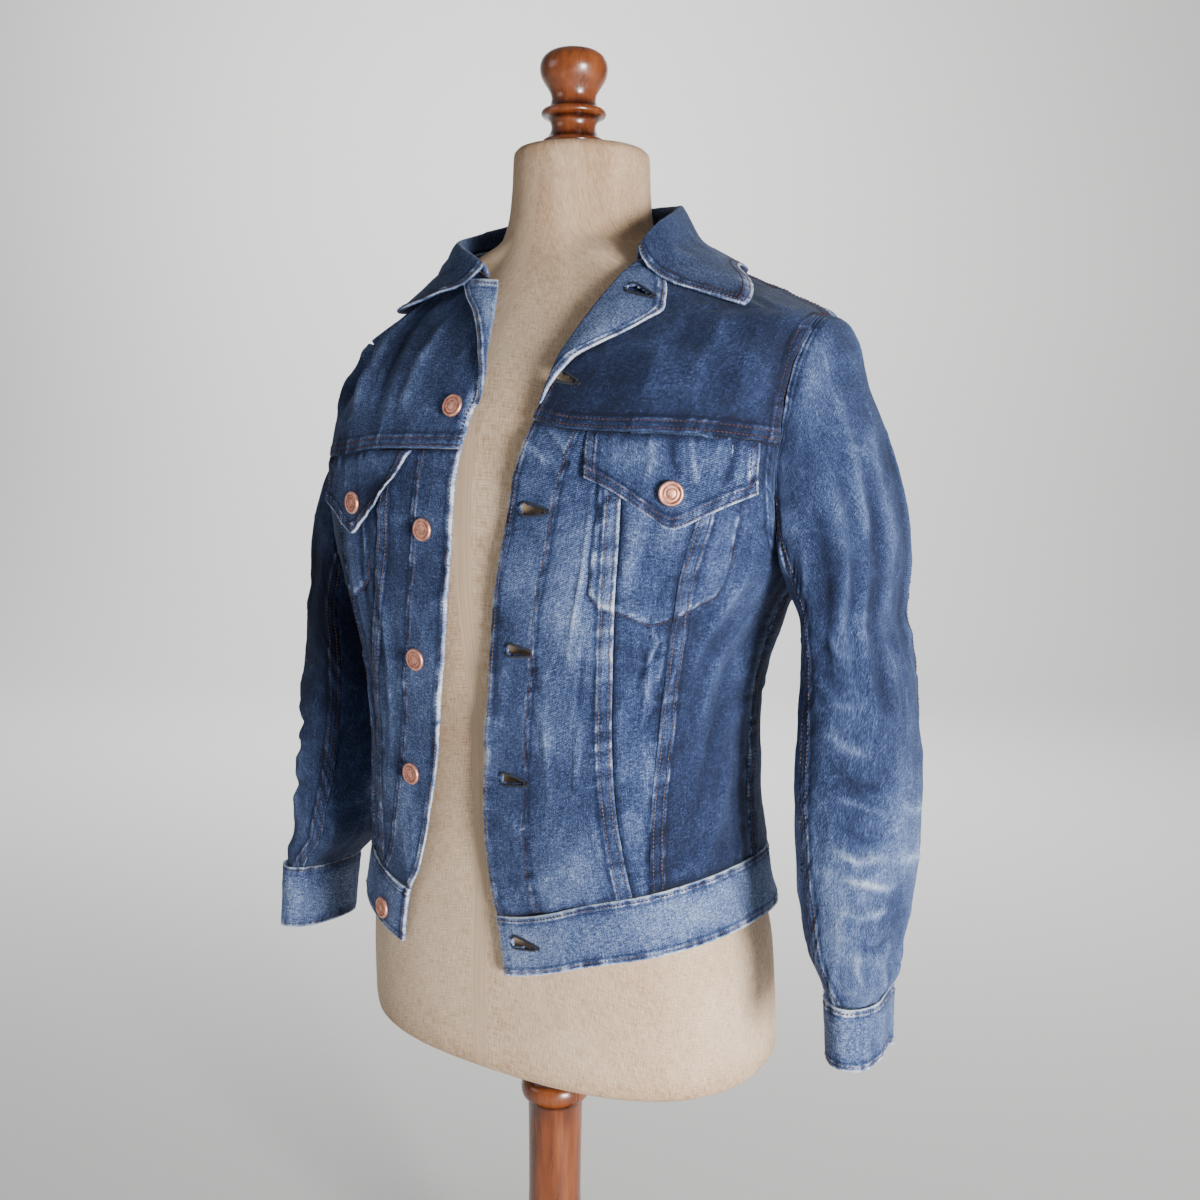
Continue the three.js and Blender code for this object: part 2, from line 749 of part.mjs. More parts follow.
function addSleeve(side, name) {
  const half = (from, to) => {
    const inset = 0.25 / ((to - from) * 0.9);
    return (u, v, out) => {
      const around = lerp(from, to, lerp(inset, 1 - inset, u));
      return mirrored(sleevePoint(around, lerp(0.001, 0.9985, v), side, out), side);
    };
  };
  const { back, front } = SLEEVE_SEAMS;
  const flip = side > 0;
  add(`sleeve_${name}_upper`, wall(half(front - 360, back), 10, 18, { flip }), denim());
  add(`sleeve_${name}_under`, wall(half(back, front), 10, 18, { flip }), denim());
  // The cuff wraps round once and overlaps itself a little at the back.
  const cuff = (u, v, out) => {
    const around = lerp(40, 40 + 392, u);
    const over = 3.6 * ease((u - 0.86) / 0.06);
    const drop = side < 0 ? 1.3 * (1 - v) : 1 - v; // the right cuff is turned down less
    const z = CUFF_TOP - SEAM - drop * CUFF_TALL - over * 1.4;
    const a = radians(around);
    const swing = side < 0 ? sleeve(CUFF_TOP, "swing") + 4 : 0;
    const centre = [sleeve(CUFF_TOP, "x") + swing + (1 - v) * 3, sleeve(CUFF_TOP, "y") - (1 - v) * 3];
    const tw = radians(sleeve(CUFF_TOP, "twist"));
    const power = (t) => Math.sign(t) * Math.abs(t) ** 0.86;
    const grow = out + over + 1.6 - 1.5 * (1 - v);
    const lx = (sleeve(CUFF_TOP, "short") + grow) * power(Math.cos(a));
    const ly = (sleeve(CUFF_TOP, "long") + grow) * power(Math.sin(a));
    const p = new THREE.Vector3(
      centre[0] + lx * Math.cos(tw) - ly * Math.sin(tw),
      centre[1] + lx * Math.sin(tw) + ly * Math.cos(tw),
      z,
    );
    return mirrored(p, side);
  };
  add(`cuff_${name}`, wall(cuff, 34, 2, { out: 0.4, thick: 2.6, flip: side < 0 }), paleDenim());
}

// A shank button: a domed copper cap with a raised rim, its back 0.3 mm off the cloth.
function addButton(name, at, normal) {
  const r = BUTTON_R;
  const t = BUTTON_TALL;
  const profile = [
    [0, 0],
    [4, 0],
    [4, t * 0.35],
    [r * 0.93, t * 0.4],
    [r, t * 0.62],
    [r * 0.95, t * 0.92],
    [r * 0.83, t],
    [r * 0.76, t * 0.86],
    [0, t * 0.9],
  ].map(([x, y]) => new THREE.Vector2(x, y));
  const geometry = new THREE.LatheGeometry(profile, 12);
  const mesh = add(name, geometry, copper());
  mesh.quaternion.setFromUnitVectors(new THREE.Vector3(0, 1, 0), normal);
  mesh.position.copy(at).addScaledVector(normal, SEAM);
}
function buttonOnBody(name, x, z, out) {
  const turn = turnAtX(x, z);
  addButton(name, bodyPoint(turn, z, out), normalOf(plainBody, turn, z, 1.5, 3));
}

// The linen form: sections from its flat underside to its neck, drawn in under the jacket's shoulders.
const form = table(
  ["z", "side", "middle", "front", "back", "squareF", "squareB"],
  [
    [FORM_LOW, 168, 18, -84, 134, 2.4, 2.4],
    [333, 175, 18, -92, 142, 2.4, 2.4],
    [360, 175, 18, -94, 142, 2.5, 2.4],
    [400, 173, 18, -94, 139, 2.6, 2.4],
    [430, 170, 18, -94, 136, 2.6, 2.4],
    [480, 159, 18, -93, 128, 2.6, 2.3],
    [560, 150, 18, -94, 112, 2.6, 2.2],
    [640, 153, 20, -102, 106, 2.6, 2.2],
    [700, 165, 22, -110, 110, 2.7, 2.3],
    [760, 178, 24, -111, 118, 2.7, 2.4],
    [820, 184, 28, -106, 120, 2.6, 2.4],
    [860, 182, 32, -93, 113, 2.4, 2.3],
    [886, 172, 34, -78, 102, 2.2, 2.2],
    [902, 159, 35, -67, 95, 2.1, 2.1],
    [920, 145, 34, -56, 92, 2.0, 2.0],
    [940, 104, 32, -45, 86, 2.0, 2.0],
    [956, 76, 29, -38, 83, 2.0, 2.0],
    [976, 60, NECK_Y, -34, 82, 2.0, 2.0],
    [1000, 56, NECK_Y, -31, 81, 2.0, 2.0],
    [FORM_HIGH - 3, 54.5, NECK_Y, -29, 79, 2.0, 2.0],
    [FORM_HIGH, 52, NECK_Y, -27, 77, 2.0, 2.0],
  ],
);
function formPoint(turn, z) {
  const s = {};
  for (const c of ["side", "middle", "front", "back", "squareF", "squareB"]) s[c] = form(z, c);
  const own = sectionPoint(turn, z, s);
  if (own.x < 0) own.x *= 1 - 0.08 * ease((z - 780) / 60);
  own.z -= SHOULDER_DROP * ease((-own.x - 55) / 115) * ease((z - 812) / 75);
  const bearing = ease((z - 880) / 26) * ease((966 - z) / 14); // where the jacket rests on the shoulders
  const wide = Math.abs(Math.sin(radians(turn)));
  const share = bearing * ease((wide - 0.35) / 0.3) * ease(((own.x < 0 ? 142 : 156) - Math.abs(own.x)) / 22);
  const n = normalOf(plainBody, turn, z, 1.5, 3);
  const under = plainBody(turn, z).addScaledVector(n, -(CLOTH + 1.3 + 2.2 * ease((z - 920) / 25)));
  return own.lerp(under, share);
}

function addForm() {
  const heights = [FORM_LOW, 333, 345, 400, 480, 560, 640, 700, 740, 780, 815, 845, 868];
  heights.push(884, 896, 907, 918, 930, 942, 953, 964, 976, 1000, FORM_HIGH - 4, FORM_HIGH);
  const turns = Array.from({ length: 36 }, (_, i) => (i * 360) / 36 + 0.5);
  const rings = heights.map((z) => turns.map((t) => formPoint(t, z)));
  const crown = (lift, share) =>
    turns.map((t) => {
      const p = formPoint(t, FORM_HIGH);
      return new THREE.Vector3(p.x * share, NECK_Y + (p.y - NECK_Y) * share, FORM_HIGH + lift);
    });
  rings.push(crown(3, 0.8), crown(4, 0.5));
  add("form_torso", closedRings(rings), linen());
}

function lathe(name, profile, x, y, z, material, sides = 28) {
  const points = profile.map(([r, h]) => new THREE.Vector2(r, h));
  const mesh = add(name, new THREE.LatheGeometry(points, sides), material);
  mesh.rotation.x = Math.PI / 2;
  mesh.position.set(x, y, z);
  return mesh;
}

// A rounded bead of a turned profile: from one height to another, bulging out to a radius.
function bead(low, high, inner, outer, steps = 4) {
  return Array.from({ length: steps + 1 }, (_, i) => {
    const a = (Math.PI * i) / steps;
    return [inner + (outer - inner) * Math.sin(a), lerp(low, high, (1 - Math.cos(a)) / 2)];
  });
}

function addTurnings() {
  const finial = [[0, 0], [23, 0], ...bead(1, 6, 22.5, 24.5), [20, 9], [17.5, 16], [20, 21], ...bead(22, 29, 21, 25.5)];
  finial.push([18.5, 32], [17.5, 36], [19, 42], [23.5, 49], [26.5, 56], [26.5, 62], [23.5, 68], [17, 72], [8, 74]);
  finial.push([0, 74]);
  lathe("finial", finial, -4, NECK_Y - 3, FORM_HIGH + 4 + SEAM, wood(), 16);
  const sleeveTall = FORM_LOW - 292;
  lathe("pole_collar", [[0, 0], [21, 0], [21, sleeveTall - SEAM], [0, sleeveTall - SEAM]], 0, 0, 292, iron(), 24);
  const top = 292 - SEAM;
  const pole = [[0, BASE_TALL + SEAM], [30, BASE_TALL + SEAM], [33, BASE_TALL + 8], [27, BASE_TALL + 22]];
  pole.push([21, BASE_TALL + 50], [23, 130], ...bead(146, 162, 24, 30), [22, 170], [22.5, top - 24]);
  pole.push(...bead(top - 20, top - 3, 24, 28.5), [24, top], [0, top]);
  lathe("pole", pole, 0, 0, 0, wood(), 16);
  const base = [[0, 0], [BASE_R - 4, 0], [BASE_R, 4], [BASE_R, 15], [BASE_R - 8, 20], [60, BASE_TALL]];
  base.push([0, BASE_TALL]);
  lathe("base", base, 0, 0, 0, wood(), 34);
}

addFront(1, "left");
addFront(-1, "right");
addBack();
addWaistband();
for (const [side, name] of [[1, "left"], [-1, "right"]]) {
  addLapel(side, name);
  addFlap(side, name);
  addSleeve(side, name);
}
addCollar();

// Five buttons show down the wearer's right front, from the yoke to the waistband, and one on each flap.
const FRONT_BUTTONS = [
  { x: -16, z: 836 },
  { x: -38, z: 747 },
  { x: -51, z: 649 },
  { x: -63, z: 558 },
  { x: -106, z: 438, out: 0.9 },
];
FRONT_BUTTONS.forEach(({ x, z, out }, i) => buttonOnBody(`button_front_${i + 1}`, x, z, out ?? 0));
buttonOnBody("button_flap_left", 156, 779, LAYER + 1.1);
buttonOnBody("button_flap_right", -110, 764, LAYER + 1.8);
addForm();
addTurnings();

export default group;
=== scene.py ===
"""Looks of a denim trucker jacket worn open on a linen dress form with a turned wooden pole.

The cloth is built as fine shells on the same tables as the solids, in millimetres, and turned into metres
when a mesh is made. Creases, puckers, seams, stitches and wear are added along the shells' normals.
"""
import math

import bpy
import numpy as np
from mathutils import Matrix, Vector


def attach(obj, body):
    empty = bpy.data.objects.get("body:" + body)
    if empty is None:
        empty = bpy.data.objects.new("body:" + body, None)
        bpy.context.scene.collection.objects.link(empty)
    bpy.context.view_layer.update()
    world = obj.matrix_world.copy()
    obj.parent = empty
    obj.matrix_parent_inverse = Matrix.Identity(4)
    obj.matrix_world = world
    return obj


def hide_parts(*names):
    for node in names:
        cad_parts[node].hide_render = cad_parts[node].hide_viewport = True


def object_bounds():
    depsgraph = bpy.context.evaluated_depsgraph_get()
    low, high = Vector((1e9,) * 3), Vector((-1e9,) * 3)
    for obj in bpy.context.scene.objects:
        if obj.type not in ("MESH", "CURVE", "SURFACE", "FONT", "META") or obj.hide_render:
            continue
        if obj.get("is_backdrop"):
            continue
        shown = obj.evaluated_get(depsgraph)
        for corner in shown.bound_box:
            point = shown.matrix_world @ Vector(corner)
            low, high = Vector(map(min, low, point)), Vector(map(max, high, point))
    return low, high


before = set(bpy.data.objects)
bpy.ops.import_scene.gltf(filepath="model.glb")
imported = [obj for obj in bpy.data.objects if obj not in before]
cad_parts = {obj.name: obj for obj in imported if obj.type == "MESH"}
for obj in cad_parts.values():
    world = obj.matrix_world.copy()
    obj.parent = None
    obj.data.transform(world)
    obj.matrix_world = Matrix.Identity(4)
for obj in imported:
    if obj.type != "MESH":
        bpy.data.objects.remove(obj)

CAD_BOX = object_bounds()
MM = 0.001
LATTICE = np.random.default_rng(7).random((64, 64, 64))


# ---- numbers and small helpers
def table(columns, rows):
    """Smooth curves through a table's rows, read by its first column."""
    data = np.array(rows, float)
    key = data[:, 0]
    lo = np.maximum(np.arange(len(key)) - 1, 0)
    hi = np.minimum(np.arange(len(key)) + 1, len(key) - 1)
    slopes = (data[hi] - data[lo]) / (key[hi] - key[lo])[:, None]

    def read(at, column):
        c = columns.index(column)
        x = np.clip(at, key[0], key[-1])
        i = np.clip(np.searchsorted(key, x, side="left") - 1, 0, len(key) - 2)
        h = key[i + 1] - key[i]
        t = (x - key[i]) / h
        p, q = data[i, c], data[i + 1, c]
        m, n = slopes[i, c] * h, slopes[i + 1, c] * h
        t2, t3 = t * t, t**3
        return p + (q - p) * (3 * t2 - 2 * t3) + m * (t3 - 2 * t2 + t) + n * (t3 - t2)

    return read


def lerp(a, b, t):
    """Between a and b by the share t."""
    return a + (b - a) * t


def ease(t):
    """A smooth step from 0 to 1."""
    s = np.clip(t, 0, 1)
    return s * s * (3 - 2 * s)


def unit(v):
    return v / np.maximum(np.linalg.norm(v, axis=-1, keepdims=True), 1e-9)


def vec(x, y, z):
    return np.stack(np.broadcast_arrays(x, y, z), -1).astype(float)


def noise(p, size, seed):
    """Smooth noise from -1 to 1 whose lumps are about size across."""
    q = np.asarray(p, float) / size + seed * 17.31
    i = np.floor(q).astype(int)
    f = q - i
    f = f * f * (3 - 2 * f)
    total = 0
    for dx in (0, 1):
        for dy in (0, 1):
            for dz in (0, 1):
                w = 1
                for k, d in enumerate((dx, dy, dz)):
                    w = w * (f[..., k] if d else 1 - f[..., k])
                total = total + w * LATTICE[tuple((i[..., k] + d) % 64 for k, d in enumerate((dx, dy, dz)))]
    return total * 2 - 1


def noise1(t, size, seed):
    """Smooth noise along a line."""
    return noise(vec(t, seed * 3.7, 0.5), size, seed)


# ---- the garment's shape, as in the solids
CLOTH, SEAM = 1.8, 0.3
LAYER = CLOTH + SEAM
BAND_TALL, YOKE_BACK, ARMHOLE_LOW, SHOULDER = 46, 846, 728, 903
SHOULDER_DROP, NECK_SIDE, LAPEL_TOP, LAPEL_LOW = 20, 969, 930, 838
FORM_LOW, FORM_HIGH, NECK_Y, BASE_R, BASE_TALL = 326, 1034, 25, 170, 26
BUTTON_R, BUTTON_TALL = 8.6, 4.2

SECTION = ["z", "side", "middle", "front", "back", "squareF", "squareB"]
body = table(SECTION, [
    [415, 178, 20, -100, 144, 2.7, 2.4], [440, 176, 20, -101, 143, 2.7, 2.4], [480, 168, 20, -102, 138, 2.8, 2.3],
    [560, 161, 20, -106, 124, 3.0, 2.2], [640, 165, 22, -112, 118, 3.1, 2.2], [690, 180, 25, -117, 122, 3.1, 2.3],
    [728, 198, 27, -118, 129, 3.0, 2.4], [780, 210, 28, -118, 131, 3.0, 2.5], [820, 214, 30, -114, 130, 2.9, 2.5],
    [860, 216, 33, -101, 124, 2.6, 2.4], [886, 215, 35, -86, 115, 2.3, 2.3], [904, 209, 36, -75, 108, 2.1, 2.1],
    [921, 174, 36, -66, 103, 2.0, 2.0], [940, 132, 36, -58, 99, 2.0, 2.0], [956, 101, 35, -52, 97, 2.0, 2.0],
    [976, 68, 31, -47, 96, 2.0, 2.0],
])
drawn_in = table(["z", "by"],
                 [[430, 0], [500, 3], [640, 4], [760, 9], [860, 13], [902, 15], [930, 9], [956, 3], [976, 0]])
FOLDS = [
    ((-46, 938), (-24, 822), 6, 11), ((-58, 934), (-44, 822), 7, 10), ((-70, 922), (-62, 824), 5, 13),
    ((34, 905), (30, 830), 2.5, 14), ((64, 915), (52, 826), 4, 13), ((40, 745), (44, 640), -3, 9),
    ((36, 690), (48, 640), 3.5, 9), ((52, 735), (70, 640), -3.5, 18), ((86, 700), (64, 560), -4, 20),
    ((-86, 690), (-60, 560), -4, 20), ((110, 735), (140, 560), -5, 22), ((250, 735), (220, 560), -5, 22),
    ((128, 700), (170, 610), 4, 20), ((232, 700), (190, 600), 4, 20),
]
MM_PER_DEGREE = 2.9


def fold_sum(a, z, folds, per, tall, share):
    """Height of the folds at turn a and height z; per and tall turn them into millimetres."""
    total = 0
    for start, end, deep, wide in folds:
        run = ((end[0] - start[0]) * per, (end[1] - start[1]) * tall)
        turn = a - start[0]
        turn = turn - 360 * np.round(turn / 360)
        here = (turn * per, (z - start[1]) * tall)
        long = math.hypot(*run)
        along = (here[0] * run[0] + here[1] * run[1]) / long
        off = (here[0] * run[1] - here[1] * run[0]) / long
        fade = ease(along / (share * long)) * ease((long - along) / (share * long))
        total = total + deep * fade * np.exp(-((off / wide) ** 2))
    return total


def section(turn, z, s):
    """The point at a turn in degrees on a cross-section whose corners are squared by its powers."""
    r = np.radians(turn)
    sn, cs = np.sin(r), np.cos(r)
    square = np.where(cs > 0, s["squareF"], s["squareB"])
    deep = np.where(cs > 0, s["middle"] - s["front"], s["back"] - s["middle"])
    x = s["side"] * np.sign(sn) * np.abs(sn) ** (2 / square)
    return vec(x, s["middle"] - deep * np.sign(cs) * np.abs(cs) ** (2 / square), z)


def plain_body(turn, z):
    """The body's surface without folds; the wearer's right is drawn in and its shoulder drops."""
    turn, z = np.broadcast_arrays(np.asarray(turn, float), np.asarray(z, float))
    s = {c: body(z, c) for c in SECTION[1:]}
    right = np.sin(np.radians(turn)) < 0
    s["side"] = s["side"] - np.where(right, drawn_in(z, "by"), 0)
    p = section(turn, z, s)
    drop = SHOULDER_DROP * ease((-p[..., 0] - 65) / 130) * ease((z - 812) / 75)
    p[..., 2] -= np.where(right, drop, 0)
    return p


def normal_of(surface, a, b, da, db):
    """The outward normal of a surface of two numbers, from steps da and db."""
    u = surface(a + da, b) - surface(a - da, b)
    v = surface(a, b + db) - surface(a, b - db)
    return unit(np.cross(u, v))


def body_point(turn, z, out=0.0):
    """A point on the body with its folds, out from the surface, and its normal."""
    n = normal_of(plain_body, turn, z, 1.5, 3)
    fold = fold_sum(turn, z, FOLDS, MM_PER_DEGREE, 1, 0.35)
    return plain_body(turn, z) + n * np.expand_dims(np.asarray(out + fold), -1), n


def turn_at_x(x, z, back=False):
    """The turn in degrees at which the body's surface has this x."""
    x, z = np.broadcast_arrays(np.asarray(x, float), np.asarray(z, float))
    square = body(z, "squareB" if back else "squareF")
    side = body(z, "side") - np.where(x < 0, drawn_in(z, "by"), 0)
    turn = np.degrees(np.arcsin(np.minimum(np.abs(x) / side, 1) ** (square / 2)))
    return np.where(x < 0, 180 + turn, 180 - turn) if back else np.sign(x) * turn


armhole_x = table(["z", "x"], [
    [ARMHOLE_LOW, float(body(ARMHOLE_LOW, "side"))],
    [770, 203], [812, 206], [860, 208], [886, 208],
    [SHOULDER, float(body(SHOULDER, "side"))],
])


def armhole_turn(z, back):
    """The armhole's turn at height z, on the front or the back."""
    t = turn_at_x(armhole_x(z, "x"), z, back)
    t = np.maximum(t, 90) if back else np.minimum(t, 90)
    return np.where((z <= ARMHOLE_LOW) | (z >= SHOULDER), 90.0, t)


front_edge = table(["z", "left", "right"], [
    [410, 23, -84], [440, 19, -79], [462, 15, -73], [480, 10, -63], [512, 6, -52], [551, 6, -42], [592, 9, -34],
    [632, 14, -28], [692, 23, -18], [740, 33, -13], [790, 43, -8], [826, 54, 0], [855, 63, 6], [876, 67, 0],
    [900, 75, -7], [LAPEL_TOP, 86, -14],
])
neckline_left = table(["turn", "z"],
                      [[34, LAPEL_TOP], [43, 940], [52, 950], [66, 960], [90, NECK_SIDE], [135, 973], [180, 974]])
neckline_right = table(["turn", "z"],
                       [[7, LAPEL_TOP], [20, 941], [40, 951], [65, 961], [90, NECK_SIDE], [135, 973], [180, 974]])


def neckline(turn):
    """Height of the neck's edge at a turn."""
    t = (np.asarray(turn, float) + 180) % 360 - 180
    return np.where(t >= 0, neckline_left(t, "z"), neckline_right(-t, "z"))


def inner_turn(z, side):
    """The front's inner edge: the opening's edge, and above it the neckline."""
    low = np.full(np.shape(z), 30.0 if side > 0 else 4.0)
    high = np.full(np.shape(z), 90.0)
    for _ in range(26):
        mid = (low + high) / 2
        under = neckline(side * mid) < z
        low, high = np.where(under, mid, low), np.where(under, high, mid)
    edge = turn_at_x(front_edge(z, "left" if side > 0 else "right"), z)
    return np.where(z <= LAPEL_TOP, edge, side * low)


hem = table(["turn", "z"], [
    [-180, 447], [-120, 450], [-80, 449], [-60, 440], [-42, 429], [-21, 416], [-8, 414], [4, 415], [24, 434],
    [42, 444], [64, 452], [90, 455], [130, 451], [180, 447],
])


def hem_at(turn):
    """Height of the hem at a turn from -180 to 360 degrees."""
    return hem(np.where(turn > 180, turn - 360, turn), "z")


def band_top(turn):
    return hem_at(turn) + BAND_TALL


yoke_low = {
    1: table(["turn", "z"], [[0, 831], [7, 828], [15, 821], [40, 819], [54, 817], [73, 812], [90, 808]]),
    -1: table(["turn", "z"], [[0, 806], [18, 805], [30, 801], [50, 797], [75, 793], [90, 791]]),
}


def yoke_seam(side):
    return lambda turn: yoke_low[side](np.abs(turn), "z")


front_seams = {
    1: table(["z", "inner", "outer"], [
        [470, 127, 136], [490, 122, 133], [523, 116, 132], [557, 112, 133], [600, 111, 137], [642, 113, 142],
        [692, 118, 152], [724, 121, 159], [765, 124, 170], [820, 126, 178],
    ]),
    -1: table(["z", "inner", "outer"], [
        [470, 119, 130], [557, 115, 132], [620, 113, 134], [645, 109, 135], [681, 99, 137], [715, 92, 139],
        [747, 88, 142], [800, 84, 148],
    ]),
}
back_seams = table(["z", "x"], [[470, 66], [640, 84], [YOKE_BACK, 128]])


# ---- grids: u runs across and v up, and each returns its places on the body
def grid(across, up):
    return np.meshgrid(np.linspace(0, 1, across + 1), np.linspace(0, 1, up + 1))


def panel_places(turn_a, turn_b, low, high, across, up):
    """A panel between two seams and two heights, inset by half a seam."""
    u, v = grid(across, up)
    ends = []
    for edge in (turn_a, turn_b):
        turn = edge(np.full(v.shape, 650.0))
        for _ in range(4):
            turn = edge(lerp(low(turn), high(turn), v))
        ends.append(turn)
    bare = lerp(ends[0], ends[1], u)
    z = lerp(low(bare) + SEAM / 2, high(bare) - SEAM / 2, v)
    span = np.linalg.norm(plain_body(ends[0], z) - plain_body(ends[1], z), axis=-1)
    inset = np.minimum(SEAM / 2 / np.maximum(span, 1), 0.2)
    return lerp(ends[0], ends[1], lerp(inset, 1 - inset, u)), z


def yoke_places(side, across, up):
    """A front yoke from its seam up to the neck, between the opening and the armhole."""
    u, v = grid(across, up)
    turn = np.full(u.shape, side * 45.0)
    for _ in range(4):
        z = lerp(yoke_seam(side)(turn) + SEAM / 2, NECK_SIDE - 2, v)
        arm = side * armhole_turn(z, False)
        inner = inner_turn(z, side)
        inset = 0.3 / np.maximum(np.abs(arm - inner) * MM_PER_DEGREE, 2)
        turn = lerp(inner, arm, lerp(inset / 2, 1 - inset, u))
    return turn, z


LAPELS = {
    1: (
        939,
        table(["z", "by"], [
            [LAPEL_LOW, 1.5], [852, 3], [869, 12], [880, 27], [891, 42], [901, 50], [911, 44], [921, 35], [930, 24],
            [939, 12],
        ]),
    ),
    -1: (929, table(["z", "by"], [[LAPEL_LOW, 2], [852, 3], [869, 5], [890, 10], [905, 17], [915, 25], [929, 32]])),
}


def lapel_places(side, across, up):
    """A turned-out top of the front, and how far it lifts."""
    u, v = grid(across, up)
    top, wide = LAPELS[side]
    z = lerp(LAPEL_LOW, top, v)
    roll = plain_body(inner_turn(z, side), z)[..., 0]
    x = lerp(roll - side * 1.5, roll + side * wide(z, "by"), u)
    lift = 2 * np.sin(np.pi * u) + (3 * u * v if side < 0 else 0)
    return turn_at_x(x, z), z, lift


FLAPS = {
    1: table(["across", "top", "low", "z"], [
        [0, 99, 100, 788], [0.2, 119, 120, 779], [0.4, 139, 141, 765], [0.55, 155, 156, 755], [0.75, 175, 177, 766],
        [1, 199, 197, 779],
    ]),
    -1: table(["across", "top", "low", "z"], [
        [0, 52, 75, 773], [0.2, 73, 88, 762], [0.4, 95, 103, 749], [0.55, 110, 117, 740], [0.75, 131, 136, 752],
        [1, 157, 158, 764],
    ]),
}
FLAP_CURL = {1: 1.5, -1: 6}


def flap_places(side, across, up):
    """A pocket flap with its point, and how far its low edge curls out."""
    u, v = grid(across, up)
    flap = FLAPS[side]
    x = side * lerp(flap(u, "low"), flap(u, "top"), v)
    z = lerp(flap(u, "z"), yoke_seam(side)(turn_at_x(x, 800)) - 1.5, v)
    curl = FLAP_CURL[side] * (1 - v) ** 2 * (0.25 + 0.75 * np.abs(2 * u - 1.1) ** 2)
    return turn_at_x(x, z), z, curl


def waistband_places(across, up):
    """The waistband from the left front's edge round the back to the right one's."""
    u, v = grid(across, up)
    z = np.full(u.shape, 455.0)
    for _ in range(5):
        start = turn_at_x(front_edge(z, "left"), z)
        end = 360 + turn_at_x(front_edge(z, "right"), z)
        turn = lerp(start, end, u)
        z = lerp(hem_at(turn), band_top(turn) - SEAM / 2, v)
    return turn, z


def yoke_back_places(across, up):
    """The back yoke between the armholes."""
    u, v = grid(across, up)
    edge_z = lerp(YOKE_BACK + SEAM / 2, NECK_SIDE - 2, v)
    edge = armhole_turn(edge_z, True) + 0.1
    turn = lerp(edge, 360 - edge, u)
    return turn, lerp(YOKE_BACK + SEAM / 2, neckline(turn) - 2, v)


collar = table(["at", "neck", "stand", "lean", "edge", "low", "lift"], [
    [0, 43, 5, 3, 55, 903, 2.5], [0.07, 51, 7, 4, 66, 917, 2.5], [0.2, 76, 10, 4, 85, 937, 2],
    [0.34, 112, 17, 0, 116, 937, 2], [0.5, 180, 22, -5, 180, 932, 2], [0.66, 248, 15, 0, 244, 937, 2],
    [0.8, 288, 8, 2, 276, 932, 2], [0.93, 328, 7, 2, 308, 918, 6], [1, 350, 5, 2, 330, 908, 11],
])
ROLL = 3.2


def collar_points(at):
    """The eight points of the collar's profile at each place along it."""
    c = lambda column: collar(at, column)
    out = lambda turn, z: normal_of(plain_body, turn, z, 1.5, 3)
    line = neckline(c("neck"))
    base = plain_body(c("neck"), line)
    level = unit(out(c("neck"), line) * [1, 1, 0])
    stand, lean = c("stand"), c("lean")

    def point(o, up):
        p = base + level * np.expand_dims(np.asarray(o + 0 * at), -1)
        p[..., 2] = base[..., 2] + up
        return p

    def leaf(t, lift):
        turn, z = lerp(c("neck"), c("edge"), t), lerp(line, c("low"), t)
        front = np.where(at < 0.12, -7 * (1 - at / 0.12) * 4 * t * (1 - t), 0)
        return plain_body(turn + front, z) + out(turn, z) * np.expand_dims(LAYER + lift + 0 * at, -1)

    return [
        point(0, 1.2),
        point(lean * 0.5, 1.2 + stand * 0.5),
        point(lean, 1.2 + stand),
        point(lean + ROLL, 1.2 + stand + ROLL),
        point(lean + 2 * ROLL, 1.2 + stand - 0.5),
        leaf(0.32, 4.2),
        leaf(0.62, 2.2 + 0.4 * c("lift")),
        leaf(1, c("lift")),
    ]


def centripetal(points, t):
    """A centripetal curve through the points, at t from 0 to 1."""
    p = np.stack(points, 0)
    p = np.concatenate([2 * p[:1] - p[1:2], p, 2 * p[-1:] - p[-2:-1]], 0)
    q = (len(points) - 1) * t
    i = np.clip(np.floor(q).astype(int), 0, len(points) - 2)
    w = (q - i)[..., None]
    pick = lambda k: np.take_along_axis(p, (i + k)[None, ..., None], 0)[0]
    x0, x1, x2, x3 = (pick(k) for k in range(4))
    gap = lambda a, b: np.maximum(((a - b) ** 2).sum(-1, keepdims=True), 1e-8) ** 0.25
    d0, d1, d2 = gap(x0, x1), gap(x1, x2), gap(x2, x3)
    m1 = ((x1 - x0) / d0 - (x2 - x0) / (d0 + d1) + (x2 - x1) / d1) * d1
    m2 = ((x2 - x1) / d1 - (x3 - x1) / (d1 + d2) + (x3 - x2) / d2) * d1
    c2, c3 = -3 * x1 + 3 * x2 - 2 * m1 - m2, 2 * x1 - 2 * x2 + m1 + m2
    return x1 + m1 * w + c2 * w**2 + c3 * w**3


def collar_face(across, up):
    """The collar's outer face, its normals, and the share of the way across it."""
    u, v = grid(across, up)
    centre = lambda a, b: centripetal(collar_points(a), np.clip(b, 0, 1))
    along = centre(np.minimum(u + 0.01, 1), v) - centre(np.maximum(u - 0.01, 0), v)
    rise = centre(u, np.minimum(v + 0.02, 1)) - centre(u, np.maximum(v - 0.02, 0))
    n = -unit(np.cross(along, rise))
    return centre(u, v) + n * CLOTH / 2, n, v


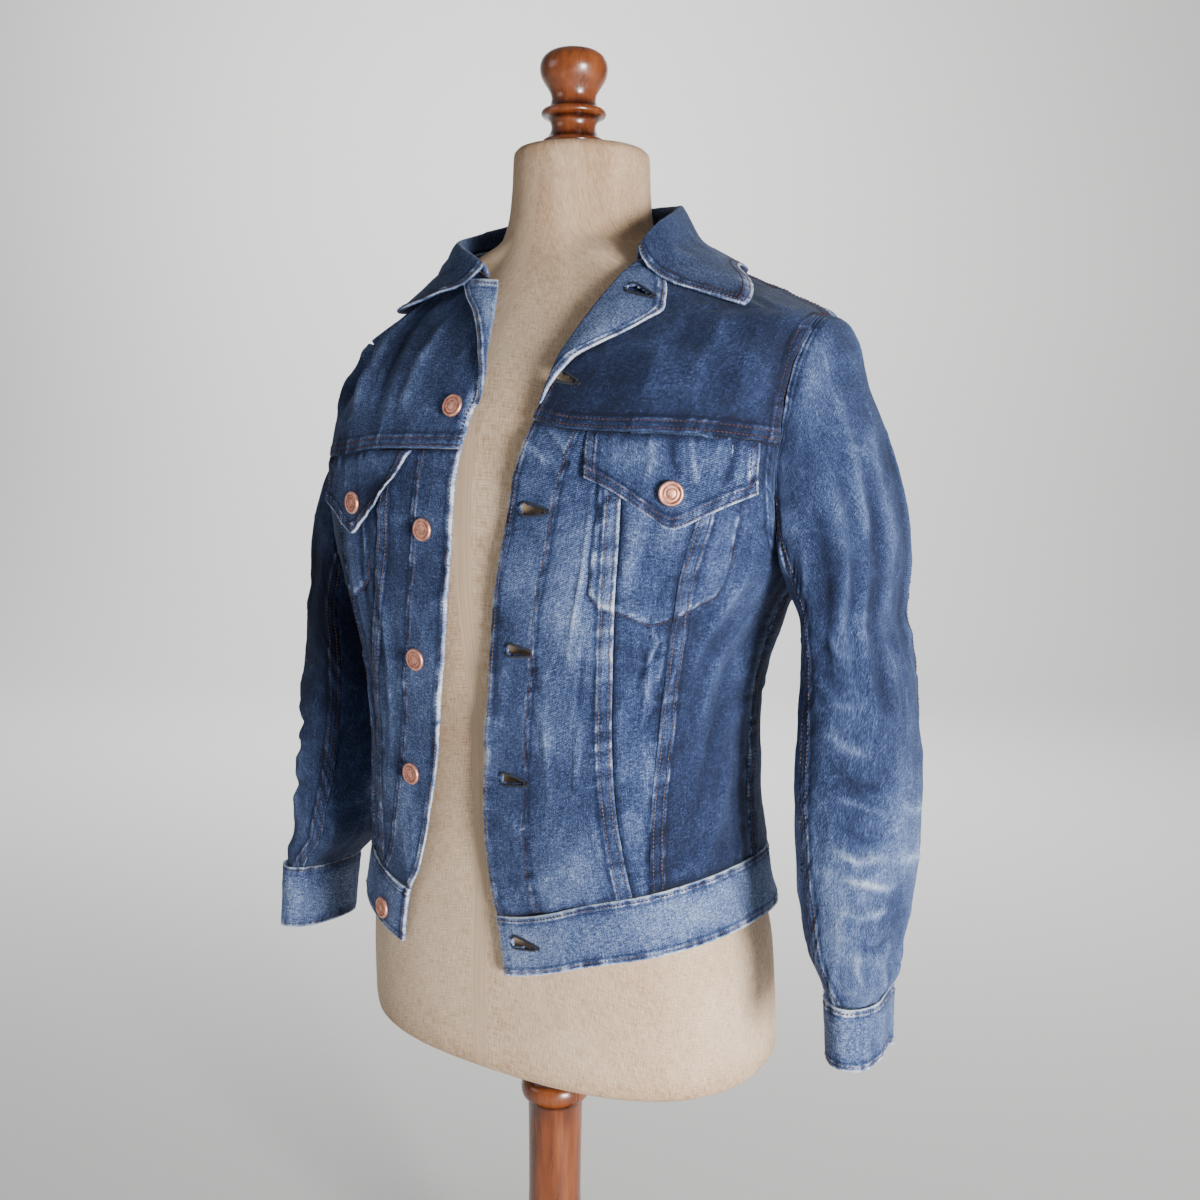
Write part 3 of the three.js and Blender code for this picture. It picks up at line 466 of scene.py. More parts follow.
sleeve = table(["z", "x", "y", "long", "short", "twist", "swing"], [
    [427, 261, 2, 39, 19, 7, 1], [441, 260, 4, 44, 26, 6, -4], [457, 254, 8, 47, 31, 5, -7],
    [486, 252, 13, 50, 35, 3, -6], [516, 250, 17, 52, 39, 1, -7], [575, 247, 21, 54, 41, 0, -9],
    [634, 245, 25, 57, 37, 0, -8], [664, 242, 27, 59, 33, 0, -4], [693, 237, 28, 60, 30, 0, -6],
    [760, 229, 30, 62, 27, 0, -11], [820, 220, 32, 62, 26, 0, -12], [915, 212, 36, 58, 26, 0, -14],
])
CUFF_TOP, CUFF_TALL = 427, 43
SLEEVE_FOLDS = [
    ((-40, 0.12), (-70, 0.6), -5, 16), ((-5, 0.1), (-20, 0.5), -3.5, 12), ((30, 0.16), (15, 0.62), -3.5, 14),
    ((-90, 0.62), (-20, 0.7), -4.5, 9), ((-80, 0.7), (0, 0.76), -4, 8), ((-95, 0.78), (-30, 0.83), -3.5, 8),
    ((100, 0.6), (40, 0.68), -4, 10), ((150, 0.5), (110, 0.75), -4, 14), ((200, 0.25), (170, 0.6), -4, 16),
]
SLEEVE_BACK, SLEEVE_FRONT = 58, 236
SLEEVE_PER_DEGREE, SLEEVE_LONG = 0.9, 480


def armhole_ring(around, side):
    """Points round the armhole, for the degrees round the sleeve."""
    a = np.radians(around)
    z = (SHOULDER + ARMHOLE_LOW) / 2 + (SHOULDER - ARMHOLE_LOW) / 2 * np.cos(a)
    safe = np.clip(z, ARMHOLE_LOW + 0.01, SHOULDER - 0.01)
    turn = np.where(np.sin(a) > 0, armhole_turn(safe, True), armhole_turn(safe, False))
    p = plain_body(side * turn, z)
    p[..., 0] = np.abs(p[..., 0])
    return p


def oval(a, long, short, twist, x, y, z):
    """A squared ellipse, turned by twist degrees, at a place."""
    power = lambda t: np.sign(t) * np.abs(t) ** 0.86
    lx, ly, tw = short * power(np.cos(a)), long * power(np.sin(a)), np.radians(twist)
    return vec(x + lx * np.cos(tw) - ly * np.sin(tw), y + lx * np.sin(tw) + ly * np.cos(tw), z)


def plain_sleeve(around, down, side):
    """The sleeve without folds, from the armhole's ring down to a tube of ovals."""
    ring = armhole_ring(around, side)
    high = ring[..., 2] - (ARMHOLE_LOW + SHOULDER) / 2
    level = lerp(815, CUFF_TOP, down) + high * (1 - ease(down / 0.42))
    z = np.minimum(level, 915)
    s = lambda column: sleeve(z, column)
    swing = s("swing") if side < 0 else 0
    tube = oval(np.radians(around), s("long"), s("short"), s("twist"), s("x") + swing, s("y"), z)
    p = lerp(ring, tube, (ease(down / 0.3) ** 0.8)[..., None])
    cap = np.maximum(0, np.cos(np.radians(around))) ** 0.6
    p[..., 0] += 1.2 + 19 * np.sin(np.pi * np.minimum(down / 0.34, 1)) * cap
    p[..., 2] = lerp(ring[..., 2], level, ease(down / 0.1)) - (1 - ease(down / 0.1)) * down * 20
    return p


def sleeve_face(side, start, end, across, up):
    """One half of a sleeve between two turns, with its normals and places."""
    u, v = grid(across, up)
    inset = 0.25 / ((end - start) * 0.9)
    around = lerp(start, end, lerp(inset, 1 - inset, u))
    down = lerp(0.001, 0.9985, v)
    surface = lambda a, d: plain_sleeve(a, d, side)
    n = -normal_of(surface, around, np.clip(down, 0.004, 0.996), 2, 0.004)
    fold = fold_sum(around, down, [(a, b, d, w) for a, b, d, w in SLEEVE_FOLDS], 1, SLEEVE_LONG, 0.3)
    fold = fold * ease(down / 0.12) * ease((1 - down) / 0.06)
    p = surface(around, down) + n * fold[..., None]
    return p * [side, 1, 1], n * [side, 1, 1], around, down


def cuff_face(side, across, up):
    """The split cuff: outer face, normals and inner face."""
    u, v = grid(across, up)
    a = np.radians(lerp(40, 432, u))
    over = 3.6 * ease((u - 0.86) / 0.06)
    drop = (1.3 if side < 0 else 1) * (1 - v)
    z = CUFF_TOP - SEAM - drop * CUFF_TALL - over * 1.4
    s = lambda column: float(sleeve(CUFF_TOP, column))
    x = s("x") + (s("swing") + 4 if side < 0 else 0) + (1 - v) * 3
    y = s("y") - (1 - v) * 3
    shape = lambda out: oval(
        a, s("long") + over + out - 1.5 * (1 - v), s("short") + over + out - 1.5 * (1 - v), s("twist"), x, y, z
    )
    p, q = shape(1.6 + 0.4), shape(1.6 - 2.2)
    return p * [side, 1, 1], unit(p - q) * [side, 1, 1], q * [side, 1, 1]


form = table(SECTION, [
    [FORM_LOW, 168, 18, -84, 134, 2.4, 2.4], [333, 175, 18, -92, 142, 2.4, 2.4], [360, 175, 18, -94, 142, 2.5, 2.4],
    [400, 173, 18, -94, 139, 2.6, 2.4], [430, 170, 18, -94, 136, 2.6, 2.4], [480, 159, 18, -93, 128, 2.6, 2.3],
    [560, 150, 18, -94, 112, 2.6, 2.2], [640, 153, 20, -102, 106, 2.6, 2.2], [700, 165, 22, -110, 110, 2.7, 2.3],
    [760, 178, 24, -111, 118, 2.7, 2.4], [820, 184, 28, -106, 120, 2.6, 2.4], [860, 182, 32, -93, 113, 2.4, 2.3],
    [886, 172, 34, -78, 102, 2.2, 2.2], [902, 159, 35, -67, 95, 2.1, 2.1], [920, 145, 34, -56, 92, 2.0, 2.0],
    [940, 104, 32, -45, 86, 2.0, 2.0], [956, 76, 29, -38, 83, 2.0, 2.0], [976, 60, NECK_Y, -34, 82, 2.0, 2.0],
    [1000, 56, NECK_Y, -31, 81, 2.0, 2.0], [FORM_HIGH - 3, 54.5, NECK_Y, -29, 79, 2.0, 2.0],
    [FORM_HIGH, 52, NECK_Y, -27, 77, 2.0, 2.0],
])


def form_point(turn, z):
    """The dress form, which fills the jacket at the shoulders."""
    own = section(turn, z, {c: form(z, c) for c in SECTION[1:]})
    own[..., 0] *= np.where(own[..., 0] < 0, 1 - 0.08 * ease((z - 780) / 60), 1)
    own[..., 2] -= SHOULDER_DROP * ease((-own[..., 0] - 55) / 115) * ease((z - 812) / 75)
    bearing = ease((z - 880) / 26) * ease((966 - z) / 14)
    wide = np.abs(np.sin(np.radians(turn)))
    reach = np.where(own[..., 0] < 0, 142, 156) - np.abs(own[..., 0])
    share = bearing * ease((wide - 0.35) / 0.3) * ease(reach / 22)
    n = normal_of(plain_body, turn, z, 1.5, 3)
    under = plain_body(turn, z) - n * (CLOTH + 1.3 + 2.2 * ease((z - 920) / 25))[..., None]
    return lerp(own, under, share[..., None])


# ---- procedural materials
def nodes_of(name):
    """A new material, its nodes and its shader."""
    m = bpy.data.materials.new(name)
    m.use_nodes = True
    t = m.node_tree
    return m, t, t.nodes["Principled BSDF"]


def new(t, kind, **values):
    """A new node with its inputs or settings."""
    n = t.nodes.new(kind)
    for k, v in values.items():
        if k in n.inputs:
            n.inputs[k].default_value = v
        else:
            setattr(n, k, v)
    return n


def math_node(t, op, a, b):
    """A maths node on two sockets or numbers."""
    n = t.nodes.new("ShaderNodeMath")
    n.operation = op
    for socket, value in zip(n.inputs, (a, b)):
        if isinstance(value, (int, float)):
            socket.default_value = value
        else:
            t.links.new(value, socket)
    return n.outputs[0]


def ramp(t, value, stops):
    """A colour ramp from (place, colour) stops."""
    n = t.nodes.new("ShaderNodeValToRGB")
    t.links.new(value, n.inputs[0])
    e = n.color_ramp.elements
    while len(e) < len(stops):
        e.new(0.5)
    for el, (at, colour) in zip(e, stops):
        el.position = at
        el.color = (*colour, 1)
    return n.outputs[0]


def scaled(t, vector, x, y, z=1.0, turn=0.0):
    """A vector scaled, and turned about z."""
    n = new(t, "ShaderNodeMapping")
    n.inputs["Scale"].default_value = (x, y, z)
    n.inputs["Rotation"].default_value = (0, 0, turn)
    t.links.new(vector, n.inputs["Vector"])
    return n.outputs[0]


def grain(t, vector, scale, detail, rough):
    """Noise read at a vector."""
    n = new(t, "ShaderNodeTexNoise", Scale=scale, Detail=detail, Roughness=rough)
    t.links.new(vector, n.inputs["Vector"])
    return n.outputs[0]


def bump(t, bsdf, height, strength, distance):
    """Relief from a pattern, on the shader's normal."""
    n = new(t, "ShaderNodeBump", Strength=strength, Distance=distance)
    t.links.new(height, n.inputs["Height"])
    t.links.new(n.outputs[0], bsdf.inputs["Normal"])


def blend(t, *parts):
    """The sum of patterns, each multiplied by its amount."""
    total = None
    for source, amount in parts:
        part = math_node(t, "MULTIPLY", source, amount)
        total = part if total is None else math_node(t, "ADD", total, part)
    return total


def dress(t, bsdf, **sockets):
    """Set the shader's sockets to a value or link them to a node; _ stands for the space in their names."""
    for name, value in sockets.items():
        socket = bsdf.inputs[name.replace("_", " ")]
        if isinstance(value, bpy.types.NodeSocket):
            t.links.new(value, socket)
        else:
            socket.default_value = value


def greys(t, value, low, high):
    """A ramp from one roughness to another over the middle of a pattern."""
    return ramp(t, value, [(0.3, (low,) * 3), (0.7, (high,) * 3)])


def attribute(t, name):
    """A value that each mesh carries."""
    return new(t, "ShaderNodeAttribute", attribute_name=name).outputs["Fac"]


def weave(t):
    """The cloth's own coordinates."""
    return new(t, "ShaderNodeUVMap", uv_map="weave").outputs[0]


def place_of(t):
    """The point in the object's own coordinates."""
    return new(t, "ShaderNodeTexCoord").outputs["Object"]


# UVs are in centimetres along the weft and the warp.
BLUES = [
    (0.0, (0.005, 0.008, 0.024)), (0.20, (0.012, 0.021, 0.062)), (0.40, (0.033, 0.054, 0.138)),
    (0.58, (0.092, 0.136, 0.275)), (0.76, (0.215, 0.290, 0.475)), (0.90, (0.420, 0.500, 0.650)),
    (1.0, (0.620, 0.680, 0.770)),
]


def make_denim():
    """Denim that runs from dark to pale by the mesh's tone, which holds wear together with painted shade and
    highlight, with slubs, twill and mottling.
    """
    m, t, bsdf = nodes_of("washed_denim")
    uv = weave(t)
    fade = attribute(t, "fade")
    slub = grain(t, scaled(t, uv, 9.0, 0.8), 1.0, 3.0, 0.65)
    fine = grain(t, scaled(t, uv, 14.0, 6.0), 1.0, 2.0, 0.7)
    weft = grain(t, scaled(t, uv, 2.0, 12.0), 1.0, 2.0, 0.6)
    cloud = grain(t, scaled(t, uv, 0.22, 0.14), 1.0, 3.0, 0.55)
    mottle = grain(t, scaled(t, uv, 4.2, 3.0), 1.0, 3.0, 0.65)
    twill = new(t, "ShaderNodeTexWave", Scale=1.0, Distortion=0.7, Detail=1.0)
    twill.inputs["Detail Scale"].default_value = 2.0
    t.links.new(scaled(t, uv, 2.9, 2.9, turn=math.radians(-58)), twill.inputs["Vector"])
    line = twill.outputs["Fac"]
    total = math_node(t, "SUBTRACT", math_node(t, "MULTIPLY", fade, 1.25), 0.170)
    for source, amount in ((slub, 0.50), (fine, 1.05), (weft, 0.60), (cloud, 0.24), (line, 0.16), (mottle, 0.42)):
        total = math_node(t, "ADD", total, math_node(t, "MULTIPLY", math_node(t, "SUBTRACT", source, 0.5), amount))
    bump(t, bsdf, math_node(t, "ADD", line, blend(t, (fine, 0.9), (slub, 0.5))), 0.55, 0.00035)
    dress(t, bsdf, Base_Color=ramp(t, total, BLUES), Roughness=0.86, Specular_IOR_Level=0.22, Sheen_Weight=0.10,
          Sheen_Roughness=0.45, Sheen_Tint=(0.62, 0.72, 0.9, 1))
    return m


def make_thread(name, dark, light):
    """Sewing thread in two shades."""
    m, t, bsdf = nodes_of(name)
    where = place_of(t)
    patch = grain(t, where, 70.0, 3.0, 0.6)
    twist = new(t, "ShaderNodeTexWave", Scale=900.0, Distortion=2.0)
    t.links.new(where, twist.inputs["Vector"])
    bump(t, bsdf, twist.outputs["Fac"], 0.3, 0.0001)
    dress(t, bsdf, Base_Color=ramp(t, patch, [(0.36, dark), (0.62, light)]), Roughness=0.6)
    return m


def make_linen():
    """Aged linen with a plain weave and spots."""
    m, t, bsdf = nodes_of("form_linen")
    uv = weave(t)
    warp = grain(t, scaled(t, uv, 14.0, 1.2), 1.0, 2.0, 0.6)
    weft = grain(t, scaled(t, uv, 1.2, 14.0), 1.0, 2.0, 0.6)
    cloud = grain(t, scaled(t, uv, 0.10, 0.07), 1.0, 4.0, 0.6)
    spots = grain(t, scaled(t, uv, 0.8, 0.8), 1.0, 4.0, 0.65)
    # The mesh's tone darkens the linen: painted shade and tint up the neck, and narrow bands at the foot and the
    # crown.
    low = attribute(t, "fade")
    mix = blend(t, (warp, 0.62), (weft, 0.62), (cloud, 0.42), (spots, 0.16))
    mix = math_node(t, "SUBTRACT", math_node(t, "SUBTRACT", mix, 0.28), low)
    colour = ramp(t, mix, [(0.34, (0.30, 0.175, 0.09)), (0.54, (0.52, 0.355, 0.225)), (0.68, (0.66, 0.485, 0.33)),
                           (0.86, (0.77, 0.62, 0.47))])
    bump(t, bsdf, math_node(t, "ADD", warp, weft), 0.5, 0.0004)
    dress(t, bsdf, Base_Color=colour, Roughness=0.82, Specular_IOR_Level=0.25, Sheen_Weight=0.1)
    return m


def make_wood(name="varnished_wood", along=(1.0, 1.0, 0.095)):
    """Varnished wood with its grain along one axis."""
    m, t, bsdf = nodes_of(name)
    where = place_of(t)
    figure = grain(t, scaled(t, where, *(95.0 * a for a in along)), 1.0, 5.0, 0.62)
    pores = grain(t, scaled(t, where, *(520.0 * a for a in along)), 1.0, 2.0, 0.5)
    groove = attribute(t, "fade")
    mix = math_node(t, "SUBTRACT", blend(t, (figure, 0.75), (pores, 0.25)), groove)
    colour = ramp(t, mix, [(0.0, (0.010, 0.002, 0.001)), (0.32, (0.078, 0.016, 0.004)), (0.52, (0.187, 0.046, 0.010)),
                           (0.72, (0.270, 0.080, 0.021))])
    bump(t, bsdf, mix, 0.12, 0.0006)
    dress(t, bsdf, Base_Color=colour, Roughness=greys(t, figure, 0.24, 0.38), Coat_Weight=0.45, Coat_Roughness=0.16)
    return m


def make_copper():
    """Worn copper, dark in the grooves."""
    m, t, bsdf = nodes_of("worn_copper")
    patch = grain(t, place_of(t), 260.0, 4.0, 0.6)
    dark = attribute(t, "fade")
    mix = math_node(t, "SUBTRACT", patch, dark)
    colour = ramp(t, mix, [(0.05, (0.12, 0.045, 0.035)), (0.35, (0.56, 0.22, 0.15)), (0.62, (0.86, 0.44, 0.33))])
    dress(t, bsdf, Base_Color=colour, Roughness=greys(t, patch, 0.36, 0.56), Metallic=0.85)
    bump(t, bsdf, patch, 0.35, 0.0003)
    return m


def make_iron():
    """Dark iron."""
    m, t, bsdf = nodes_of("dark_iron")
    patch = grain(t, place_of(t), 160.0, 4.0, 0.6)
    colour = ramp(t, patch, [(0.3, (0.016, 0.018, 0.02)), (0.7, (0.055, 0.058, 0.06))])
    dress(t, bsdf, Base_Color=colour, Roughness=greys(t, patch, 0.35, 0.55), Metallic=0.8)
    bump(t, bsdf, patch, 0.2, 0.0004)
    return m


DENIM = make_denim()
RUST = make_thread("rust_thread", (0.020, 0.012, 0.014), (0.085, 0.030, 0.026))
CREAM = make_thread("faded_thread", (0.036, 0.026, 0.030), (0.17, 0.105, 0.085))
BLACK = make_thread("buttonhole_thread", (0.006, 0.007, 0.012), (0.022, 0.026, 0.042))
LINEN, WOOD, COPPER, IRON = make_linen(), make_wood(), make_copper(), make_iron()


# ---- meshes
def mesh_object(name, points, faces, material, fade=None, uv=None):
    """points in millimetres; faces is a list of index arrays, one for each number of corners."""
    me = bpy.data.meshes.new(name)
    points = np.asarray(points, np.float32).reshape(-1, 3) * MM
    faces = [f for f in faces if len(f)]
    me.vertices.add(len(points))
    me.vertices.foreach_set("co", points.ravel())
    loops = np.concatenate([f.ravel() for f in faces]).astype(np.int32)
    sizes = np.concatenate([np.full(len(f), f.shape[1]) for f in faces]).astype(np.int32)
    me.loops.add(len(loops))
    me.loops.foreach_set("vertex_index", loops)
    me.polygons.add(len(sizes))
    me.polygons.foreach_set("loop_start", np.concatenate([[0], np.cumsum(sizes)[:-1]]).astype(np.int32))
    me.polygons.foreach_set("loop_total", sizes)
    me.polygons.foreach_set("use_smooth", np.full(len(sizes), True))
    me.update(calc_edges=True)
    if fade is not None:
        a = me.attributes.new("fade", "FLOAT", "POINT")
        a.data.foreach_set("value", np.asarray(fade, np.float32).ravel())
    if uv is not None:
        layer = me.uv_layers.new(name="weave")
        layer.data.foreach_set("uv", np.asarray(uv, np.float32).reshape(-1, 2)[loops].ravel())
    me.validate()
    ob = bpy.data.objects.new(name, me)
    bpy.context.scene.collection.objects.link(ob)
    me.materials.append(material)
    return ob


def hand_over(ob, slot, *nodes):
    """Attach the piece to the root body and hide the solids that it stands for; slot, its material slot, is not used.
    """
    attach(ob, "root")
    if nodes:
        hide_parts(*nodes)
    return ob


def lengths(p, axis):
    """Distance run along the rows (axis 1) or the columns (axis 0) of a grid of points."""
    d = np.linalg.norm(np.diff(p, axis=axis), axis=-1)
    zero = np.zeros_like(d[:, :1] if axis == 1 else d[:1])
    return np.concatenate([zero, np.cumsum(d, axis=axis)], axis=axis)


def run_along(p):
    """Distance run along a line of points."""
    return np.concatenate([[0], np.cumsum(np.linalg.norm(np.diff(p, axis=0), axis=1))])


def pick(at, d, q):
    """The values of q, known at the distances d, read at the distances given."""
    return np.stack([np.interp(at, d, q[:, k]) for k in range(q.shape[1])], -1)


def band(s, t, seed, wide, lift, pucker):
    """Height and tone of a seam: s is the distance from its line, t the run along it. Pale worn edges, with painted
    shade in its ditches, beside it and along a tucked edge.
    """
    flat = ease((s + 0.2) / 1.4) * ease((wide + 1.2 - s) / 1.6)
    lumps = noise1(t, 4.6, seed) * 0.9 + noise1(t, 2.4, seed + 1) * 0.6
    reach = np.exp(-np.maximum(s - wide, 0) / 4.0) * ease((s + 1.0) / 2.0)
    wave = 2.0 * pucker * lumps * reach * (0.55 + 0.45 * np.cos(np.pi * np.clip(s / wide, 0, 1) * 2))
    ditches = np.exp(-(((s - 2.4) / 0.9) ** 2)) + np.exp(-(((s - wide + 2.2) / 0.9) ** 2))
    patch = 0.8 + 0.5 * noise1(t, 34, seed + 2)
    edge = np.exp(-(((s - 0.5) / 1.0) ** 2)) + 0.75 * np.exp(-(((s - wide + 0.3) / 1.0) ** 2))
    # Pale edges are wear; the puckers' lumps are lighter and darker with their height, partly wear and partly painted
    # highlight and shade.
    wear_and_shade = edge * np.clip(0.22 + 0.16 * lumps, 0, 1) * patch + 0.13 * lumps * reach * flat
    # Painted shade in the ditches between the rows and in a dark strip beside the band; the lumps beside it lighter
    # and darker, partly wear and partly painted shade.
    wear_and_shade -= 0.10 * ditches * (1 - 0.5 * lumps)
    wear_and_shade -= 0.16 * np.exp(-(((s - wide - 1.6) / 1.3) ** 2)) + 0.05 * np.exp(-np.abs(s - wide - 3) / 5.0)
    wear_and_shade += 0.08 * lumps * np.exp(-np.abs(s - wide - 2) / 4.0)
    # A tucked edge is painted darker near its neighbour, as shade under the raised seam.
    if lift < 0:
        near = np.exp(-((np.maximum(s, 0) / wide) ** 2))
        return lift * near + 0.5 * wave, -0.20 * near + 0.12 * lumps * np.exp(-s / 5.0)
    return lift * flat + wave - 0.45 * ditches * flat, wear_and_shade


def trail(x, y, path):
    """Distance from a broken line, the share run along it, the side, and its length, for arrays of places."""
    path = np.asarray(path, float)
    seg = np.diff(path, axis=0)
    long = np.linalg.norm(seg, axis=1)
    total = long.sum()
    best = np.full(np.shape(x), 1e9)
    share, side = np.zeros(np.shape(x)), np.zeros(np.shape(x))
    run = 0.0
    for (px, py), (dx, dy), l in zip(path[:-1], seg, long):
        t = np.clip(((x - px) * dx + (y - py) * dy) / l**2, 0, 1)
        ox, oy = x - px - t * dx, y - py - t * dy
        d = np.hypot(ox, oy)
        near = d < best
        best = np.where(near, d, best)
        share = np.where(near, (run + t * l) / total, share)
        side = np.where(near, np.sign(ox * dy - oy * dx), side)
        run += l
    return best, share, side, total


def creases(x, y, rows):
    """Soft troughs and ridges along broken lines: each row is (points, height, width, paleness). Crests are paler,
    partly wear and partly painted highlight; troughs, with a negative paleness, are darker as painted shade.
    """
    high, wear_and_shade = 0.0, 0.0
    for i, (path, deep, wide, pale) in enumerate(rows):
        d, share, side, total = trail(x, y, path)
        along = ease(share / 0.3) * ease((1 - share) / 0.3)
        uneven = 0.8 + 0.35 * noise1(share * total, 17, i)
        lean = np.where(side > 0, 0.75, 1.3)
        shape = np.exp(-((d / (0.8 * wide * lean)) ** 2)) - 0.34 * np.exp(-((d / (wide * 2.0)) ** 2))
        high = high + deep * along * uneven * shape
        wear_and_shade = wear_and_shade + pale * along * uneven * np.exp(-((d / (wide * 0.8)) ** 2))
    return high, wear_and_shade


def calm(p, spots):
    """1 on free cloth and 0 at the spots, which are buttons and buttonholes with their reach."""
    keep = np.ones(p.shape[:-1])
    for centre, radius in spots:
        d = np.linalg.norm(p - centre, axis=-1)
        keep = keep * (1 - np.exp(-((d / radius) ** 4)))
    return keep


PIECES = {}
INNER_STEP = 3  # the inner face is this much coarser than the outer one, except round buttonholes


def rim_faces(index, small, step):
    """Triangles between the fine edge of the outer face and the coarse edge of the inner one."""
    rim = []
    for fine, rough, flip in (
        (index[0], small[0], 0),
        (index[-1], small[-1], 1),
        (index[:, 0], small[:, 0], 1),
        (index[:, -1], small[:, -1], 0),
    ):
        for k in range(len(rough) - 1):
            a, b = rough[k], rough[k + 1]
            span = fine[k * step : (k + 1) * step + 1]
            cells = [(a, span[m + 1], span[m]) for m in range(step)] + [(a, b, span[-1])]
            rim += [c[::-1] if flip else c for c in cells]
    return rim


def hole_walls(index, small, keep):
    """Walls from the outer to the inner face along every edge of the kept cells, holes among them."""
    wide = np.pad(keep, 1)
    out = []
    sides = ((-1, 0, (0, 0), (0, 1)), (0, 1, (0, 1), (1, 1)), (1, 0, (1, 1), (1, 0)), (0, -1, (1, 0), (0, 0)))
    for dj, di, p, q in sides:
        beside = wide[1 + dj : wide.shape[0] - 1 + dj, 1 + di : wide.shape[1] - 1 + di]
        j, i = np.nonzero(keep & ~beside)
        a, b = (index[j + c[0], i + c[1]] for c in (p, q))
        c, d = (small[j + e[0], i + e[1]] for e in (p, q))
        out.append(np.stack([b, a, c, d], -1))
    return np.concatenate(out)


def within(x, y, outline):
    """Which places lie inside a closed outline."""
    inside = np.zeros(np.shape(x), bool)
    for (ax, ay), (bx, by) in zip(outline, outline[1:] + outline[:1]):
        cross = (ay > y) != (by > y)
        inside ^= cross & (x < (bx - ax) * (y - ay) / ((by - ay) or 1e-9) + ax)
    return inside


def plateau(x, y, outline):
    """A low step over a closed outline, as of a pocket bag under the cloth. Its rim is paler, partly wear and partly
    painted highlight on its puckers; the step and the strip just outside are darker as painted shade.
    """
    d = trail(x, y, outline)[0]
    signed = np.where(within(x, y, outline), d, -d)
    lumps = noise(vec(x, y, 0), 6.5, 3)
    step = ease(signed / 2.4 + 0.5)
    edge = np.exp(-((signed / 1.8) ** 2))
    out = np.exp(-(((signed + 2.0) / 1.6) ** 2))
    rim = np.exp(-(((signed - 2.2) / 2.2) ** 2))
    high = 1.2 * step + edge * (0.6 * lumps - 0.1) - 0.5 * out
    wear_and_shade = rim * (0.12 + 0.30 * lumps) - 0.20 * np.exp(-((signed / 1.1) ** 2)) - 0.06 * out + 0.03 * step
    return high, wear_and_shade


